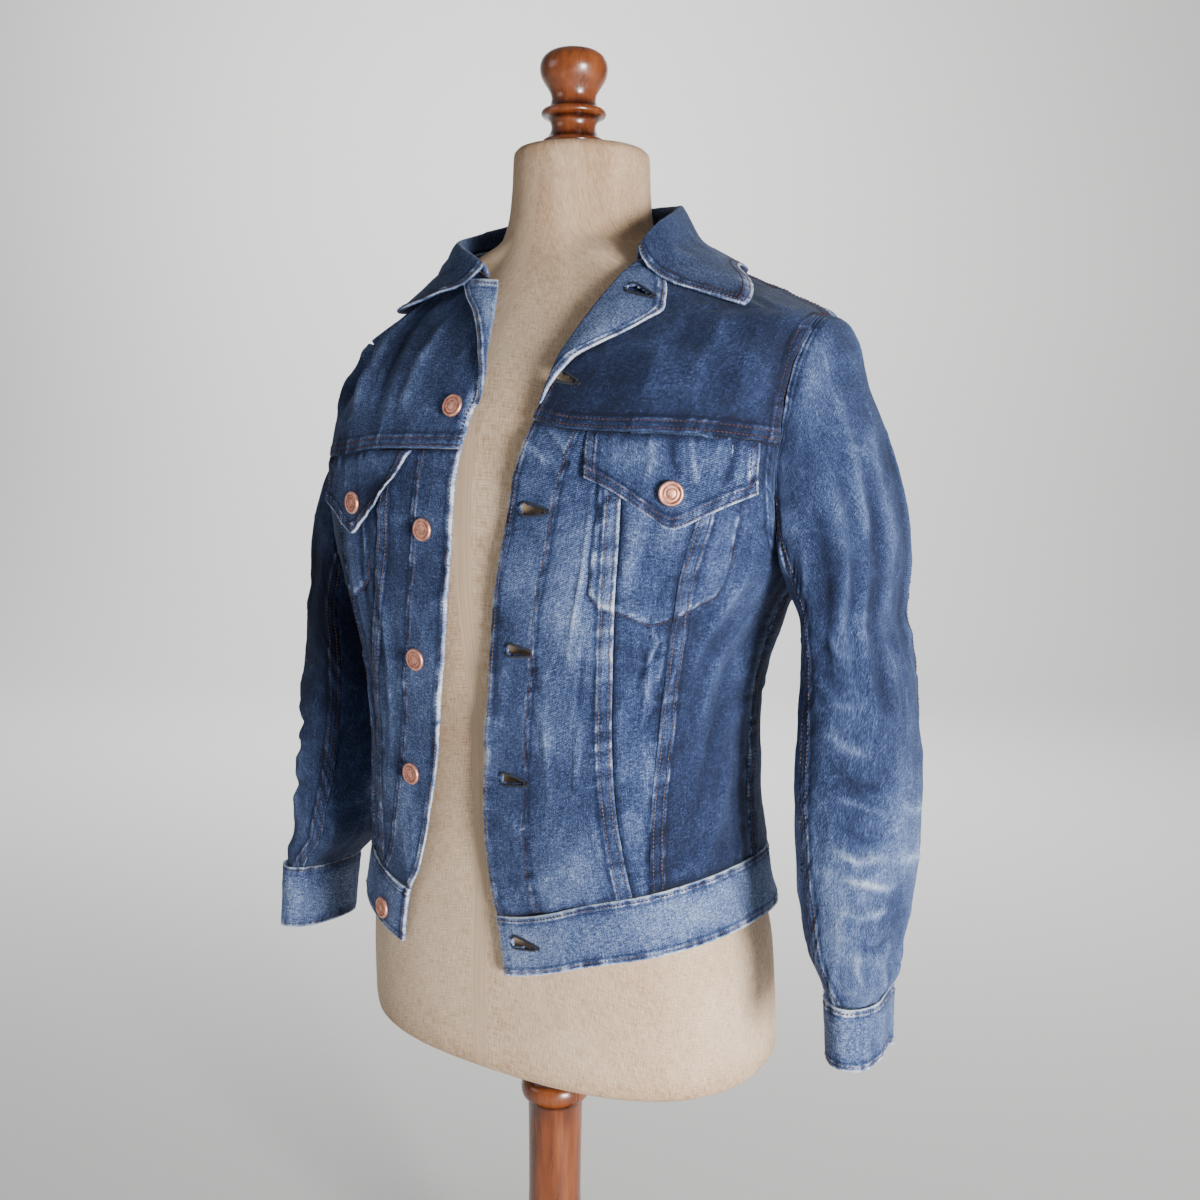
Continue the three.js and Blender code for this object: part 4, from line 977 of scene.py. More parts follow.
def cloth(name, p, n, *, base, bands, rows, seed, thick=CLOTH, under=None, lines=None, where=None, raw=(),
          crumple=1.0, holes=(), inner_fade=0.74, bag=None, covered=None):
    """A shell of cloth over a grid of points p with normals n.

    bands: (edge, width, lift, pucker) seams along the grid's edges, and how far in one starts, if not at 0.
    lines: creases in the plane of where = (x, y). rows: (edge, distance, thread) stitches along an edge.
    raw: edges with worn cloth. covered: 1 where the cloth is held down under another piece.
    """
    up, across = p.shape[0] - 1, p.shape[1] - 1
    run, rise = lengths(p, 1), lengths(p, 0)
    edges = {
        "left": (run, rise),
        "right": (run[:, -1:] - run, rise),
        "low": (rise, run),
        "top": (rise[-1:] - rise, run),
    }
    high = np.zeros(p.shape[:-1])
    fade = np.full(p.shape[:-1], float(base))
    for k, (edge, wide, lift, pucker, *start) in enumerate(bands):
        s, t = edges[edge]
        h, f = band(s - sum(start), t, seed + 7 * k, wide, lift, pucker)
        high, fade = high + h, fade + f
    if lines:
        h, f = creases(where[0], where[1], lines)
        # The creases' tone, and a little more by their height: paler crests, partly wear and partly painted
        # highlight; darker troughs, painted shade.
        high, fade = high + 1.7 * h, fade + 1.1 * f + 0.025 * h
    if bag:
        h, f = plateau(where[0], where[1], bag)
        high, fade = high + h, fade + f
    lump = noise(p, 46, seed) * 1.2 + noise(p, 21, seed + 2) * 0.8 + noise(p, 9, seed + 3) * 0.3
    ridge = 1 - np.abs(noise(p * [1, 1, 0.5], 30, seed + 5))
    second = 1 - np.abs(noise(p * [1, 1, 0.7] + 40, 17, seed + 6))
    third = 1 - np.abs(noise(p * [1, 1, 0.8] + 90, 11, seed + 7))
    folds = 1.15 * (ridge**4 - 0.3) + 0.6 * (second**4 - 0.3) + 0.22 * (third**4 - 0.3)
    soft = 1.15 * crumple * (0.62 * lump + folds)
    high = high + soft
    # Tone follows the crumples: paler on crests, partly wear and partly painted highlight, and darker in hollows as
    # painted shade; with random patches.
    fade = fade + 0.05 * soft + 0.08 * noise(p, 70, seed + 8) + 0.05 * noise(p, 26, seed + 9)
    fade = fade + crumple * 0.05 * (third**6 - 0.2)
    high = high * calm(p, SPOTS)
    if covered is not None:
        high = lerp(high, np.minimum(high, -0.3), covered)
    for edge in raw:
        s, t = edges[edge]
        worn = 0.5 + 0.5 * noise1(t, 7, seed + 11) + 0.25 * noise1(t, 2.6, seed + 12)
        fade = fade + 0.40 * worn * np.exp(-s / 0.9) + 0.06 * worn * np.exp(-s / 6)
    outer = p + n * high[..., None]
    inner = (under if under is not None else p - n * thick) + n * np.minimum(high, 0.6)[..., None]
    step = 1 if holes else INNER_STEP
    keep = np.ones((up, across), bool)
    middle = (outer[:-1, :-1] + outer[1:, 1:]) / 2
    for hole in holes:
        keep &= ~inside_hole(middle, hole)
    index = np.arange((up + 1) * (across + 1)).reshape(up + 1, across + 1)
    quads = np.stack([index[:-1, :-1], index[:-1, 1:], index[1:, 1:], index[1:, :-1]], -1)
    coarse = inner[::step, ::step]
    small = np.arange(coarse[..., 0].size).reshape(coarse.shape[:2]) + index.size
    back = np.stack([small[:-1, :-1], small[1:, :-1], small[1:, 1:], small[:-1, 1:]], -1)
    keep_back = keep if holes else np.ones(back.shape[:2], bool)
    faces = [quads[keep], back[keep_back]]
    tris = np.array(rim_faces(index, small, step)) if not holes else hole_walls(index, small, keep)
    outward = np.cross(p[:-1, 1:] - p[:-1, :-1], p[1:, :-1] - p[:-1, :-1])
    if (outward * n[:-1, :-1]).sum() < 0:
        faces = [f[:, ::-1] for f in faces]
        tris = tris[:, ::-1]
    uv = np.stack([np.broadcast_to(run, fade.shape), np.broadcast_to(rise, fade.shape)], -1) / 10 + seed * 3.1
    points = np.concatenate([outer.reshape(-1, 3), coarse.reshape(-1, 3)])
    fades = np.concatenate([fade.ravel(), np.full(small.size, inner_fade)])
    uvs = np.concatenate([uv.reshape(-1, 2), uv[::step, ::step].reshape(-1, 2)])
    ob = mesh_object(name, points, [*faces, tris], DENIM, fades, uvs)
    hand_over(ob, "denim", name.replace("cloth_", ""))
    PIECES[name] = dict(ob=ob, p=outer, n=n, edges=edges, area=np.linalg.norm(outward, axis=-1).sum() * MM**2,
                        wide=run[:, -1].max() * MM, long=rise[-1].max() * MM)
    for row in rows:
        stitch_edge(PIECES[name], *row)
    return PIECES[name]


def lift_fade(piece, extra):
    """Add to the tone of the outer face of a finished piece: wear, and on the sleeves also painted shade."""
    me = piece["ob"].data
    values = np.zeros(len(me.vertices), np.float32)
    me.attributes["fade"].data.foreach_get("value", values)
    values[: extra.size] += extra.ravel().astype(np.float32)
    me.attributes["fade"].data.foreach_set("value", values)


# ---- stitches
STITCHES = {"rust": [], "cream": [], "black": []}
PITCH, STITCH_LONG, STITCH_THICK, PROUD = 3.0, 2.4, 0.52, 0.16


def stitch_path(p, n, thread):
    """Stitches along a line of points p, with the cloth's normals n."""
    d = run_along(p)
    if d[-1] < 2 * PITCH:
        return
    at = np.arange(PITCH * 0.6, d[-1] - PITCH * 0.5, PITCH)
    centre, up = pick(at, d, p), unit(pick(at, d, n))
    ahead = unit(pick(at + 0.8, d, p) - pick(at - 0.8, d, p))
    rows = (centre + up * PROUD, ahead, up, np.full(len(at), STITCH_LONG), np.full(len(at), STITCH_THICK))
    STITCHES[thread].append(rows)


def smooth_line(q, reach):
    """Running mean along a line."""
    k = np.ones(2 * reach + 1) / (2 * reach + 1)
    padded = np.concatenate([np.repeat(q[:1], reach, 0), q, np.repeat(q[-1:], reach, 0)])
    return np.stack([np.convolve(padded[:, c], k, "valid") for c in range(q.shape[1])], -1)


def stitch_edge(piece, edge, distance, thread, start=0.0, end=0.0):
    """A row of stitches at a distance from one edge of a piece's grid, short of its ends by start and end."""
    s, _ = piece["edges"][edge]
    s = np.broadcast_to(s, piece["p"].shape[:-1])
    p, n = piece["p"], piece["n"]
    if edge in ("left", "right"):
        lines = (s, p, n)
    else:
        lines = (s.T, p.transpose(1, 0, 2), n.transpose(1, 0, 2))
    rev = edge in ("right", "top")
    got_p, got_n = [], []
    for ss, pp, nn in zip(*lines):
        if rev:
            ss, pp, nn = ss[::-1], pp[::-1], nn[::-1]
        if ss[-1] < distance:
            continue
        got_p.append(pick(distance, ss, pp))
        got_n.append(pick(distance, ss, nn))
    if len(got_p) < 4:
        return
    p, n = np.array(got_p), unit(np.array(got_n))
    d = run_along(p)
    keep = (d >= start) & (d <= d[-1] - end)
    stitch_path(p[keep], n[keep], thread)


def build_stitches(name, rows, material):
    """Small rounded bars: rings of four, closed by points at both ends."""
    centre, ahead, up, long, thick = (np.concatenate([r[k] for r in rows]) for k in range(5))
    side = unit(np.cross(ahead, up))
    up = np.cross(side, ahead)
    shape = [(-0.5, 0.0), (-0.38, 0.75), (0.0, 1.0), (0.38, 0.75), (0.5, 0.0)]
    verts = []
    for along, wide in shape:
        middle = centre + ahead * (along * long)[:, None] - up * (0.30 * abs(2 * along) ** 2)
        if wide == 0:
            verts.append(middle[:, None])
            continue
        ring = [middle + (side * math.cos(a) + up * math.sin(a)) * (wide * thick)[:, None]
                for a in (0, math.pi / 2, math.pi, 3 * math.pi / 2)]
        verts.append(np.stack(ring, 1))
    points = np.concatenate(verts, 1)
    per = points.shape[1]
    tris = [(0, 1 + (k + 1) % 4, 1 + k) for k in range(4)]
    tris += [(per - 1, per - 5 + k, per - 5 + (k + 1) % 4) for k in range(4)]
    quads = [(1 + 4 * r + k, 1 + 4 * r + (k + 1) % 4, 5 + 4 * r + (k + 1) % 4, 5 + 4 * r + k)
             for r in range(2) for k in range(4)]
    shift = (np.arange(len(centre)) * per)[:, None, None]
    faces = [(np.array(tris)[None] + shift).reshape(-1, 3), (np.array(quads)[None] + shift).reshape(-1, 4)]
    hand_over(mesh_object(name, points.reshape(-1, 3), faces, material), "denim")


# ---- buttonholes: an eye towards the front edge, and a slit that tapers from it
def body_spot(x, z, out):
    """One point of the front and its normal."""
    turn = turn_at_x(np.array([float(x)]), np.array([float(z)]))
    p, n = body_point(turn, np.array([float(z)]), out)
    return p[0], n[0]


def hole_frame(x, z, out, tilt):
    """A buttonhole's place: its middle, its normal, and its own x and y directions."""
    p, n = body_spot(x, z, out)
    right = unit(np.cross([0, 0, 1.0], n))
    right = -right if right[0] < 0 else right
    rise = np.cross(n, right)
    rise = -rise if rise[2] < 0 else rise
    c, s = math.cos(tilt), math.sin(tilt)
    return dict(at=p, n=n, x=right * c + rise * s, y=rise * c - right * s)


def hole_half(x):
    """Half the opening's height at x along the hole, from the eye's end at -9.8 to the slit's at 11.5."""
    eye = np.sqrt(np.maximum(4.0**2 - (x + 5.8) ** 2, 0))
    slit = np.where((x > -6) & (x < 11.5), 3.7 - 2.6 * ease((x + 6) / 19), 0)
    return np.maximum(eye, slit)


def inside_hole(p, hole):
    """Which points lie in a buttonhole's opening."""
    d = p - hole["at"]
    x, y = d @ hole["x"], d @ hole["y"]
    return (np.abs(y) < hole_half(x)) & (np.abs(d @ hole["n"]) < 12) & (np.abs(x) < 12)


def sew_hole(hole):
    """The sewing round a buttonhole: cross stitches, a cord and a bar."""
    xs = np.concatenate([np.linspace(-9.5, -4, 12), np.linspace(-3.2, 11, 17)])
    upper = np.stack([xs, hole_half(xs) + 0.2], -1)
    outline = np.concatenate([upper, upper[::-1] * [1, -1]])
    d = run_along(outline)
    at = np.arange(0, d[-1], 0.95)
    ring = pick(at, d, outline)
    tangent = unit(np.roll(ring, -1, 0) - np.roll(ring, 1, 0))
    outwards = np.stack([-tangent[:, 1], tangent[:, 0]], -1)
    outwards *= np.where((outwards * ring).sum(-1, keepdims=True) < 0, -1, 1)

    def sew(q, aim, lift, long, thick):
        up = np.repeat(hole["n"][None], len(q), 0)
        at = hole["at"] + q[:, :1] * hole["x"] + q[:, 1:] * hole["y"] + up * lift
        STITCHES["black"].append((at, aim, up, np.full(len(q), long), np.full(len(q), thick)))

    lay = lambda q: q[:, :1] * hole["x"] + q[:, 1:] * hole["y"]
    sew(ring + outwards * 0.75, lay(outwards), 0.5, 2.1, 0.5)
    sew(ring + outwards * 0.2, lay(tangent), 0.75, 1.7, 0.5)
    bar = np.stack([np.linspace(11.4, 14.6, 6), np.zeros(6)], -1)
    sew(bar, np.repeat(hole["y"][None], 6, 0), 0.5, 3.6, 0.6)


# ---- places that stay flat: buttons and buttonholes
FRONT_BUTTONS = [(-16, 836, 0), (-38, 747, 0), (-51, 649, 0), (-63, 558, 0), (-106, 438, 0.9)]
FLAP_BUTTONS = {"button_flap_left": (156, 779, LAYER + 1.1), "button_flap_right": (-110, 764, LAYER + 1.8)}
HOLES = [hole_frame(x, z, out, tilt) for x, z, out, tilt in (
    (58, 765, 0, -0.06), (44, 664, 0, -0.05), (33, 567, 0, -0.05), (40, 443, 0.9, -0.06), (72, 856, 0, -0.35),
    (104, 914, LAYER + 2.6, -0.5))]
CALM_BUTTON, CALM_HOLE = 11, 13
SPOTS = [(body_spot(*spot)[0], CALM_BUTTON) for spot in (*FRONT_BUTTONS, *FLAP_BUTTONS.values())]
SPOTS += [(hole["at"], CALM_HOLE) for hole in HOLES]


def on_body(turn, z, out=0.0):
    """A grid's points and normals on the body, and its places in millimetres for the creases."""
    p, n = body_point(turn, z, out)
    return p, n, (turn * MM_PER_DEGREE, z)


def line_of(numbers, per=MM_PER_DEGREE, tall=1):
    """A line's points, in millimetres, from its turns and heights one after the other."""
    return [(a * per, z * tall) for a, z in zip(numbers[::2], numbers[1::2])]


def crease_rows(rows, per=MM_PER_DEGREE, tall=1):
    """Each row: the crease's height, width and how pale its crest is, wear with painted highlight, or if negative how
    dark its trough is as painted shade, then its line's numbers.
    """
    return [(line_of(r[3:], per, tall), *r[:3]) for r in rows]


FRONT_LINES = {
    1: crease_rows([
        (2.4, 3.0, 0.24, -20, 838, -10, 816, 0, 795, 6, 774), (-2.0, 3.0, -0.12, -12, 838, -2, 812, 8, 786),
        (1.6, 2.8, 0.16, -4, 836, 6, 812, 14, 790), (1.6, 2.8, 0.14, 8, 834, 13, 812, 18, 790),
        (2.2, 3.4, 0.16, 41, 694, 46, 676, 44, 656), (-1.8, 3.4, -0.10, 50, 690, 46, 664, 41, 648),
        (2.0, 3.2, 0.16, 42, 652, 47, 636, 52, 628), (-1.6, 3.4, -0.08, 52, 640, 47, 618, 42, 606),
        (1.6, 3.4, 0.12, 43, 604, 48, 590, 51, 572), (1.2, 3.4, 0.12, 20, 800, 20.5, 770, 20, 690, 19, 640),
        (-1.2, 3.6, -0.06, 24, 690, 23, 650, 22, 600), (1.3, 4, 0.10, 21, 640, 23, 610, 22, 560),
        (2.0, 3.4, 0.16, 47, 684, 50, 668, 49, 640), (-1.8, 3.6, -0.10, 40, 680, 43, 664, 42, 636),
        (1.5, 4, 0.10, 51, 622, 49, 580, 50, 540), (-1.2, 4, -0.06, 45, 560, 47, 530, 45, 502),
        (1.5, 8, 0.07, 29, 812, 31, 735, 29, 640, 27, 540), (-1.4, 6, -0.05, 34, 800, 36, 760, 35, 700),
        (1.3, 6, 0.06, 26, 560, 30, 520, 36, 500), (1.6, 4.5, 0.10, 43, 690, 46, 650, 44, 600),
        (-1.3, 4, -0.08, 49, 692, 51, 655, 48, 620), (1.5, 4.5, 0.10, 54, 696, 55, 660, 52, 622),
        (-1.2, 4, -0.06, 60, 700, 60, 660, 57, 628), (1.1, 5, 0.06, 46, 600, 48, 550, 46, 505),
        (2.0, 8, 0.07, 72, 735, 67, 690, 62, 640), (2.2, 10, 0.06, 84, 700, 74, 650, 66, 590),
        (-1.8, 9, -0.06, 82, 640, 74, 590, 66, 540), (1.8, 8, 0.05, 86, 590, 78, 540, 66, 505),
        (1.2, 5, 0.06, 70, 520, 60, 508, 48, 503), (0.8, 6, 0.04, 10, 640, 14, 600, 12, 560),
        (1.2, 6, 0.06, 66, 790, 70, 765, 78, 752),
    ]),
    -1: crease_rows([
        (1.2, 6, 0.07, -17, 800, -20, 700, -24, 600, -30, 520), (-1.4, 6, -0.06, -26, 795, -26, 740, -30, 660),
        (1.6, 7, 0.08, -30, 790, -33, 720, -36, 640), (1.5, 6, 0.06, -40, 700, -42, 640, -40, 560),
        (1.6, 8, 0.05, -54, 720, -56, 660, -58, 600), (2.0, 9, 0.05, -80, 700, -72, 640, -64, 580),
        (1.8, 9, 0.05, -84, 620, -72, 560, -60, 515), (1.0, 5, 0.05, -30, 540, -38, 510, -48, 500),
    ]),
}
YOKE_LINES = {
    1: crease_rows([
        (1.2, 8, 0.06, 36, 900, 33, 860, 30, 828), (1.4, 9, 0.05, 52, 915, 46, 880, 40, 845),
        (-1.5, 9, -0.05, 64, 925, 60, 880, 56, 835), (1.6, 9, 0.05, 80, 905, 72, 880, 64, 850),
        (1.3, 7, 0.06, 84, 860, 74, 840, 62, 826),
    ]),
    -1: crease_rows([
        (1.6, 6, 0.10, -16, 925, -14, 880, -12, 815), (-2.2, 7, -0.08, -32, 940, -26, 890, -20, 830),
        (2.2, 6, 0.08, -40, 945, -34, 890, -28, 825), (-2.0, 8, -0.08, -50, 945, -45, 890, -40, 828),
        (2.0, 7, 0.07, -56, 942, -53, 890, -50, 826), (2.0, 8, 0.07, -68, 938, -66, 880, -62, 815),
        (1.6, 8, 0.05, -80, 915, -76, 860, -70, 810),
    ]),
}
BAGS = {
    1: line_of((21.8, 815, 21.8, 732, 22.6, 709, 26, 699, 34, 695, 42.7, 687, 55.3, 697, 63.0, 706,
            62, 747, 60.8, 815)),
    -1: line_of((-23, 800, -23, 722, -24, 706, -29, 697, -38, 688, -50, 698, -56.5, 708, -56, 800)),
}
BACK_LINES = crease_rows([
    (2.2, 9, 0.06, 110, 735, 125, 690, 142, 650), (2.4, 10, 0.06, 104, 650, 124, 610, 146, 580),
    (-2.0, 9, -0.05, 108, 590, 128, 560, 150, 540), (1.6, 9, 0.05, 130, 820, 140, 760, 150, 700),
    (1.6, 8, 0.05, 160, 830, 164, 740, 166, 640), (-1.6, 9, -0.05, 176, 835, 180, 760, 178, 680),
    (1.8, 8, 0.05, 196, 830, 194, 730, 192, 640), (-1.5, 9, -0.05, 212, 820, 206, 760, 200, 700),
    (2.2, 9, 0.06, 250, 735, 234, 690, 216, 655), (2.3, 10, 0.06, 256, 650, 236, 615, 214, 585),
    (1.9, 8, 0.05, 250, 580, 232, 555, 206, 535), (1.6, 7, 0.05, 150, 540, 176, 525, 204, 535),
    (1.3, 6, 0.05, 118, 530, 134, 515, 160, 505),
])


def under_flap(side, turn, z):
    """How far each place lies under the pocket flap: 0 outside it, 1 well inside."""
    a, b, _ = flap_places(side, 12, 6)
    rim = [np.concatenate([g[0], g[1:, -1], g[-1, -2::-1], g[-2:0:-1, 0]]) for g in (a * MM_PER_DEGREE, b)]
    outline = list(zip(*rim))
    d = trail(turn * MM_PER_DEGREE, z, outline + outline[:1])[0]
    return ease(np.where(within(turn * MM_PER_DEGREE, z, outline), d, 0) / 3.0)


# How seams lie along an edge: width, lift and pucker. A negative lift is an edge tucked under its neighbour.
FELLED, ARM_SEAM, YOKE_FOLD = (11, 0.8, 0.5), (9, 0.6, 0.4), (9, 0.8, 0.4)
TUCKED, BAND_TUCK, YOKE_TUCK = (3, -1.0, 0.5), (3, -0.8, 0.5), (3, -0.9, 0.6)
NARROW, COLLAR_END, CUFF_RIM = (3, 0.3, 0.2), (6, 0.2, 0.15), (4, 0.3, 0.4)
# How pale each piece starts, before its seams and creases: partly wear, and partly painted shade, as the left yoke,
# the side panels and the right sleeve are set darker for the shade they stand in.
PALE = dict(centre=0.47, middle=0.43, side=0.335, yoke={1: 0.27, -1: 0.41}, lapel=0.56, flap=0.44, back=0.42,
            yoke_back=0.43, waistband=0.63, collar=0.42, sleeve={1: 0.41, -1: 0.28}, cuff=0.54)
PANEL_UP = 171
SIDES = ((1, "left"), (-1, "right"))


def rows_on(edges, thread, *distances):
    """Rows of stitches at the same distances from several edges."""
    return [(edge, distance, thread) for edge in edges for distance in distances]


def add_fronts(side, name):
    """Three panels and the yoke of one front."""
    edge = lambda z: turn_at_x(front_edge(z, name), z)
    seam = lambda key: lambda z: turn_at_x(side * front_seams[side](z, key), z)
    outer = lambda z: side * armhole_turn(z, False)
    yoke = yoke_seam(side)
    ends = [("low", *BAND_TUCK), ("top", *YOKE_TUCK)]
    sets = (
        ("centre", edge, seam("inner"), 60 if side > 0 else 42, 3,
         [("left", 4, 0.4, 0.25), ("right", *FELLED), ("left", 3.5, 0.5, 0.6, 35), *ends],
         [("left", 2.6, "cream"), ("left", 36, "rust"), *rows_on(["right"], "cream", 2.6, 9)]),
        ("middle", seam("inner"), seam("outer"), 24, 11, [("left", *TUCKED), ("right", *TUCKED), ends[0]], []),
        ("side", seam("outer"), outer, 48, 23, [("left", *FELLED), ("right", *ARM_SEAM), *ends],
         rows_on(["left"], "cream", 2.6, 9)),
    )
    for part, a, b, across, seed, bands, rows in sets:
        turn, z = panel_places(a, b, band_top, yoke, across, PANEL_UP)
        p, n, where = on_body(turn, z)
        edged = part == "centre"
        cloth(f"cloth_front_{name}_{part}", p, n, base=PALE[part], bands=bands, lines=FRONT_LINES[side], where=where,
              rows=rows, raw=("left",) if edged else (), holes=HOLES[:3] if edged and side > 0 else (),
              bag=BAGS[side], covered=under_flap(side, turn, z), seed=seed + (40 if side < 0 else 0))
    turn, z = yoke_places(side, 72, 72)
    p, n, where = on_body(turn, z)
    cloth(f"cloth_yoke_front_{name}", p, n, base=PALE["yoke"][side], lines=YOKE_LINES[side], where=where,
          bands=[("low", *YOKE_FOLD), ("right", 9, 0.7, 0.4), ("left", 4, 0.3, 0.25)],
          rows=[*rows_on(["low"], "rust", 2.4, 7.6), *rows_on(["right"], "rust", 2.6, 8), ("left", 3, "rust")],
          raw=("left",), holes=HOLES[4:5] if side > 0 else (), seed=31 + 9 * side)


def add_lapel(side, name):
    """The turned-out top of one front."""
    turn, z, lift = lapel_places(side, 30, 54)
    join = ease((z - LAPEL_LOW) / 20)
    p, n, _ = on_body(turn, z, 0.7 + join * (LAYER - 0.1 + lift))
    cloth(f"cloth_lapel_{name}", p, n, base=PALE["lapel"], crumple=0.5, thick=1.5,
          bands=[("right", 6, 0.3, 0.3), ("top", 6, 0.3, 0.3)],
          rows=[("right", 2.6, "cream"), ("top", 3, "cream", 0, 4)], raw=("right", "top"),
          holes=HOLES[5:6] if side > 0 else (), seed=51 + side)


def add_flap(side, name):
    """One pocket flap with the creases that its button pulls."""
    turn, z, curl = flap_places(side, 66, 33)
    p, n, where = on_body(turn, z, LAYER + 0.4 + curl)
    lines = crease_rows([
        (2.6, 3.4, 0.26, 43, 822, 44.5, 800, 47, 782), (-2.2, 4, -0.20, 38, 820, 39, 802, 42, 786),
        (1.6, 4, 0.12, 33, 820, 34, 800, 33, 784), (1.8, 3.6, 0.14, 52, 820, 51, 802, 50, 790),
        (-2.0, 4, -0.20, 56, 818, 56, 798, 54, 780), (1.5, 4, 0.12, 62, 815, 62, 795, 60, 778),
        (1.0, 4, 0.10, 40, 776, 45, 768, 50, 766),
    ], side * MM_PER_DEGREE)
    cloth(f"cloth_pocket_flap_{name}", p, n, base=PALE["flap"], crumple=0.9, thick=2.0, lines=lines, where=where,
          bands=[("low", 8, 0.45, 0.5), ("left", 8, 0.4, 0.4), ("right", 8, 0.4, 0.4),
                 ("top", 4, -0.9, 0.7)],
          rows=[("low", 2.2, "rust"), ("low", 7.0, "rust"), ("left", 2.2, "rust"), ("left", 7.0, "rust", 6),
                ("right", 2.2, "rust"), ("right", 7.0, "rust", 6)],
          raw=("low", "left", "right"), seed=61 + side)


def add_back():
    """Three panels of the back and its yoke."""
    seam = lambda side: lambda z: turn_at_x(side * back_seams(z, "x"), z, True)
    arm = {1: lambda z: armhole_turn(z, True), -1: lambda z: 360 - armhole_turn(z, True)}
    yoke = lambda turn: np.full(np.shape(turn), float(YOKE_BACK))
    for name, a, b, across, bands, rows, seed in (
        ("back_centre", seam(1), seam(-1), 96, [("left", *FELLED), ("right", *FELLED)],
         rows_on(["left", "right"], "cream", 2.6, 9), 71),
        ("back_left_side", arm[1], seam(1), 69, [("right", *TUCKED), ("left", *ARM_SEAM)],
         rows_on(["left"], "cream", 2.6, 8), 76),
        ("back_right_side", seam(-1), arm[-1], 69, [("left", *TUCKED), ("right", *ARM_SEAM)],
         rows_on(["right"], "cream", 2.6, 8), 83),
    ):
        turn, z = panel_places(a, b, band_top, yoke, across, PANEL_UP)
        p, n, where = on_body(turn, z)
        cloth(f"cloth_{name}", p, n, base=PALE["back"], bands=[*bands, ("low", *BAND_TUCK), ("top", 3, -0.9, 0.5)],
              lines=BACK_LINES, where=where, rows=rows, seed=seed)
    turn, z = yoke_back_places(210, 60)
    p, n, where = on_body(turn, z)
    lines = crease_rows([
        (1.8, 9, 0.06, 120, 940, 128, 900, 134, 860), (-1.6, 9, -0.05, 150, 950, 154, 905, 156, 860),
        (1.6, 9, 0.05, 178, 950, 180, 900, 182, 856), (1.6, 9, 0.06, 206, 950, 204, 905, 202, 860),
        (-1.6, 9, -0.05, 238, 940, 232, 900, 226, 860), (1.8, 8, 0.06, 262, 915, 252, 880, 244, 856),
    ])
    cloth("cloth_yoke_back", p, n, base=PALE["yoke_back"], lines=lines, where=where, seed=91,
          bands=[("low", *YOKE_FOLD), ("left", 9, 0.4, 0.4), ("right", 9, 0.4, 0.4)],
          rows=rows_on(["low"], "rust", 2.4, 7.6))


def add_waistband():
    """The waistband, in one strip."""
    turn, z = waistband_places(516, 24)
    p, n, _ = on_body(turn, z, 0.9)
    cloth("cloth_waistband", p, n, thick=2.7, base=PALE["waistband"], crumple=0.55,
          bands=[("top", 4, 0.35, 0.5), ("low", 4, 0.35, 0.4), ("left", *NARROW), ("right", *NARROW)],
          rows=[("top", 3.2, "rust"), ("low", 3.4, "cream"), *rows_on(["left", "right"], "cream", 3)],
          raw=("low", "left", "right", "top"), holes=HOLES[3:4], seed=97)


def add_collar():
    """The collar, worn pale along its fold."""
    p, n, v = collar_face(300, 39)
    run, rise = lengths(p, 1), lengths(p, 0)
    long = run.mean(0)[-1]
    fold = np.exp(-(((v - 0.42) / 0.05) ** 2))
    lines = crease_rows([
        (1.6, 7, 0.10, 0.06, 34, 0.09, 58), (1.2, 7, 0.06, 0.16, 30, 0.18, 60), (-1.2, 9, -0.05, 0.3, 32, 0.29, 62),
        (1.2, 10, 0.05, 0.5, 36, 0.52, 66), (-1.0, 9, -0.04, 0.72, 30, 0.70, 60), (1.8, 7, 0.08, 0.92, 28, 0.90, 56),
        (-1.4, 6, -0.05, 0.97, 30, 0.965, 50),
    ], long)
    made = cloth("cloth_collar", p, n, base=PALE["collar"], crumple=0.45, inner_fade=0.46, lines=lines,
                 where=(run, rise),
                 bands=[("top", 7, 0.25, 0.15), ("left", *COLLAR_END), ("right", *COLLAR_END)],
                 rows=[("top", 2.4, "cream"), ("top", 7.8, "rust"), *rows_on(["left", "right"], "cream", 2.6),
                       ("left", 7.8, "rust", 40), ("right", 7.8, "rust", 40)],
                 raw=("top", "left", "right"), seed=101)
    lift_fade(made, 0.22 * fold * (0.7 + 0.6 * noise(p, 9, 5)))


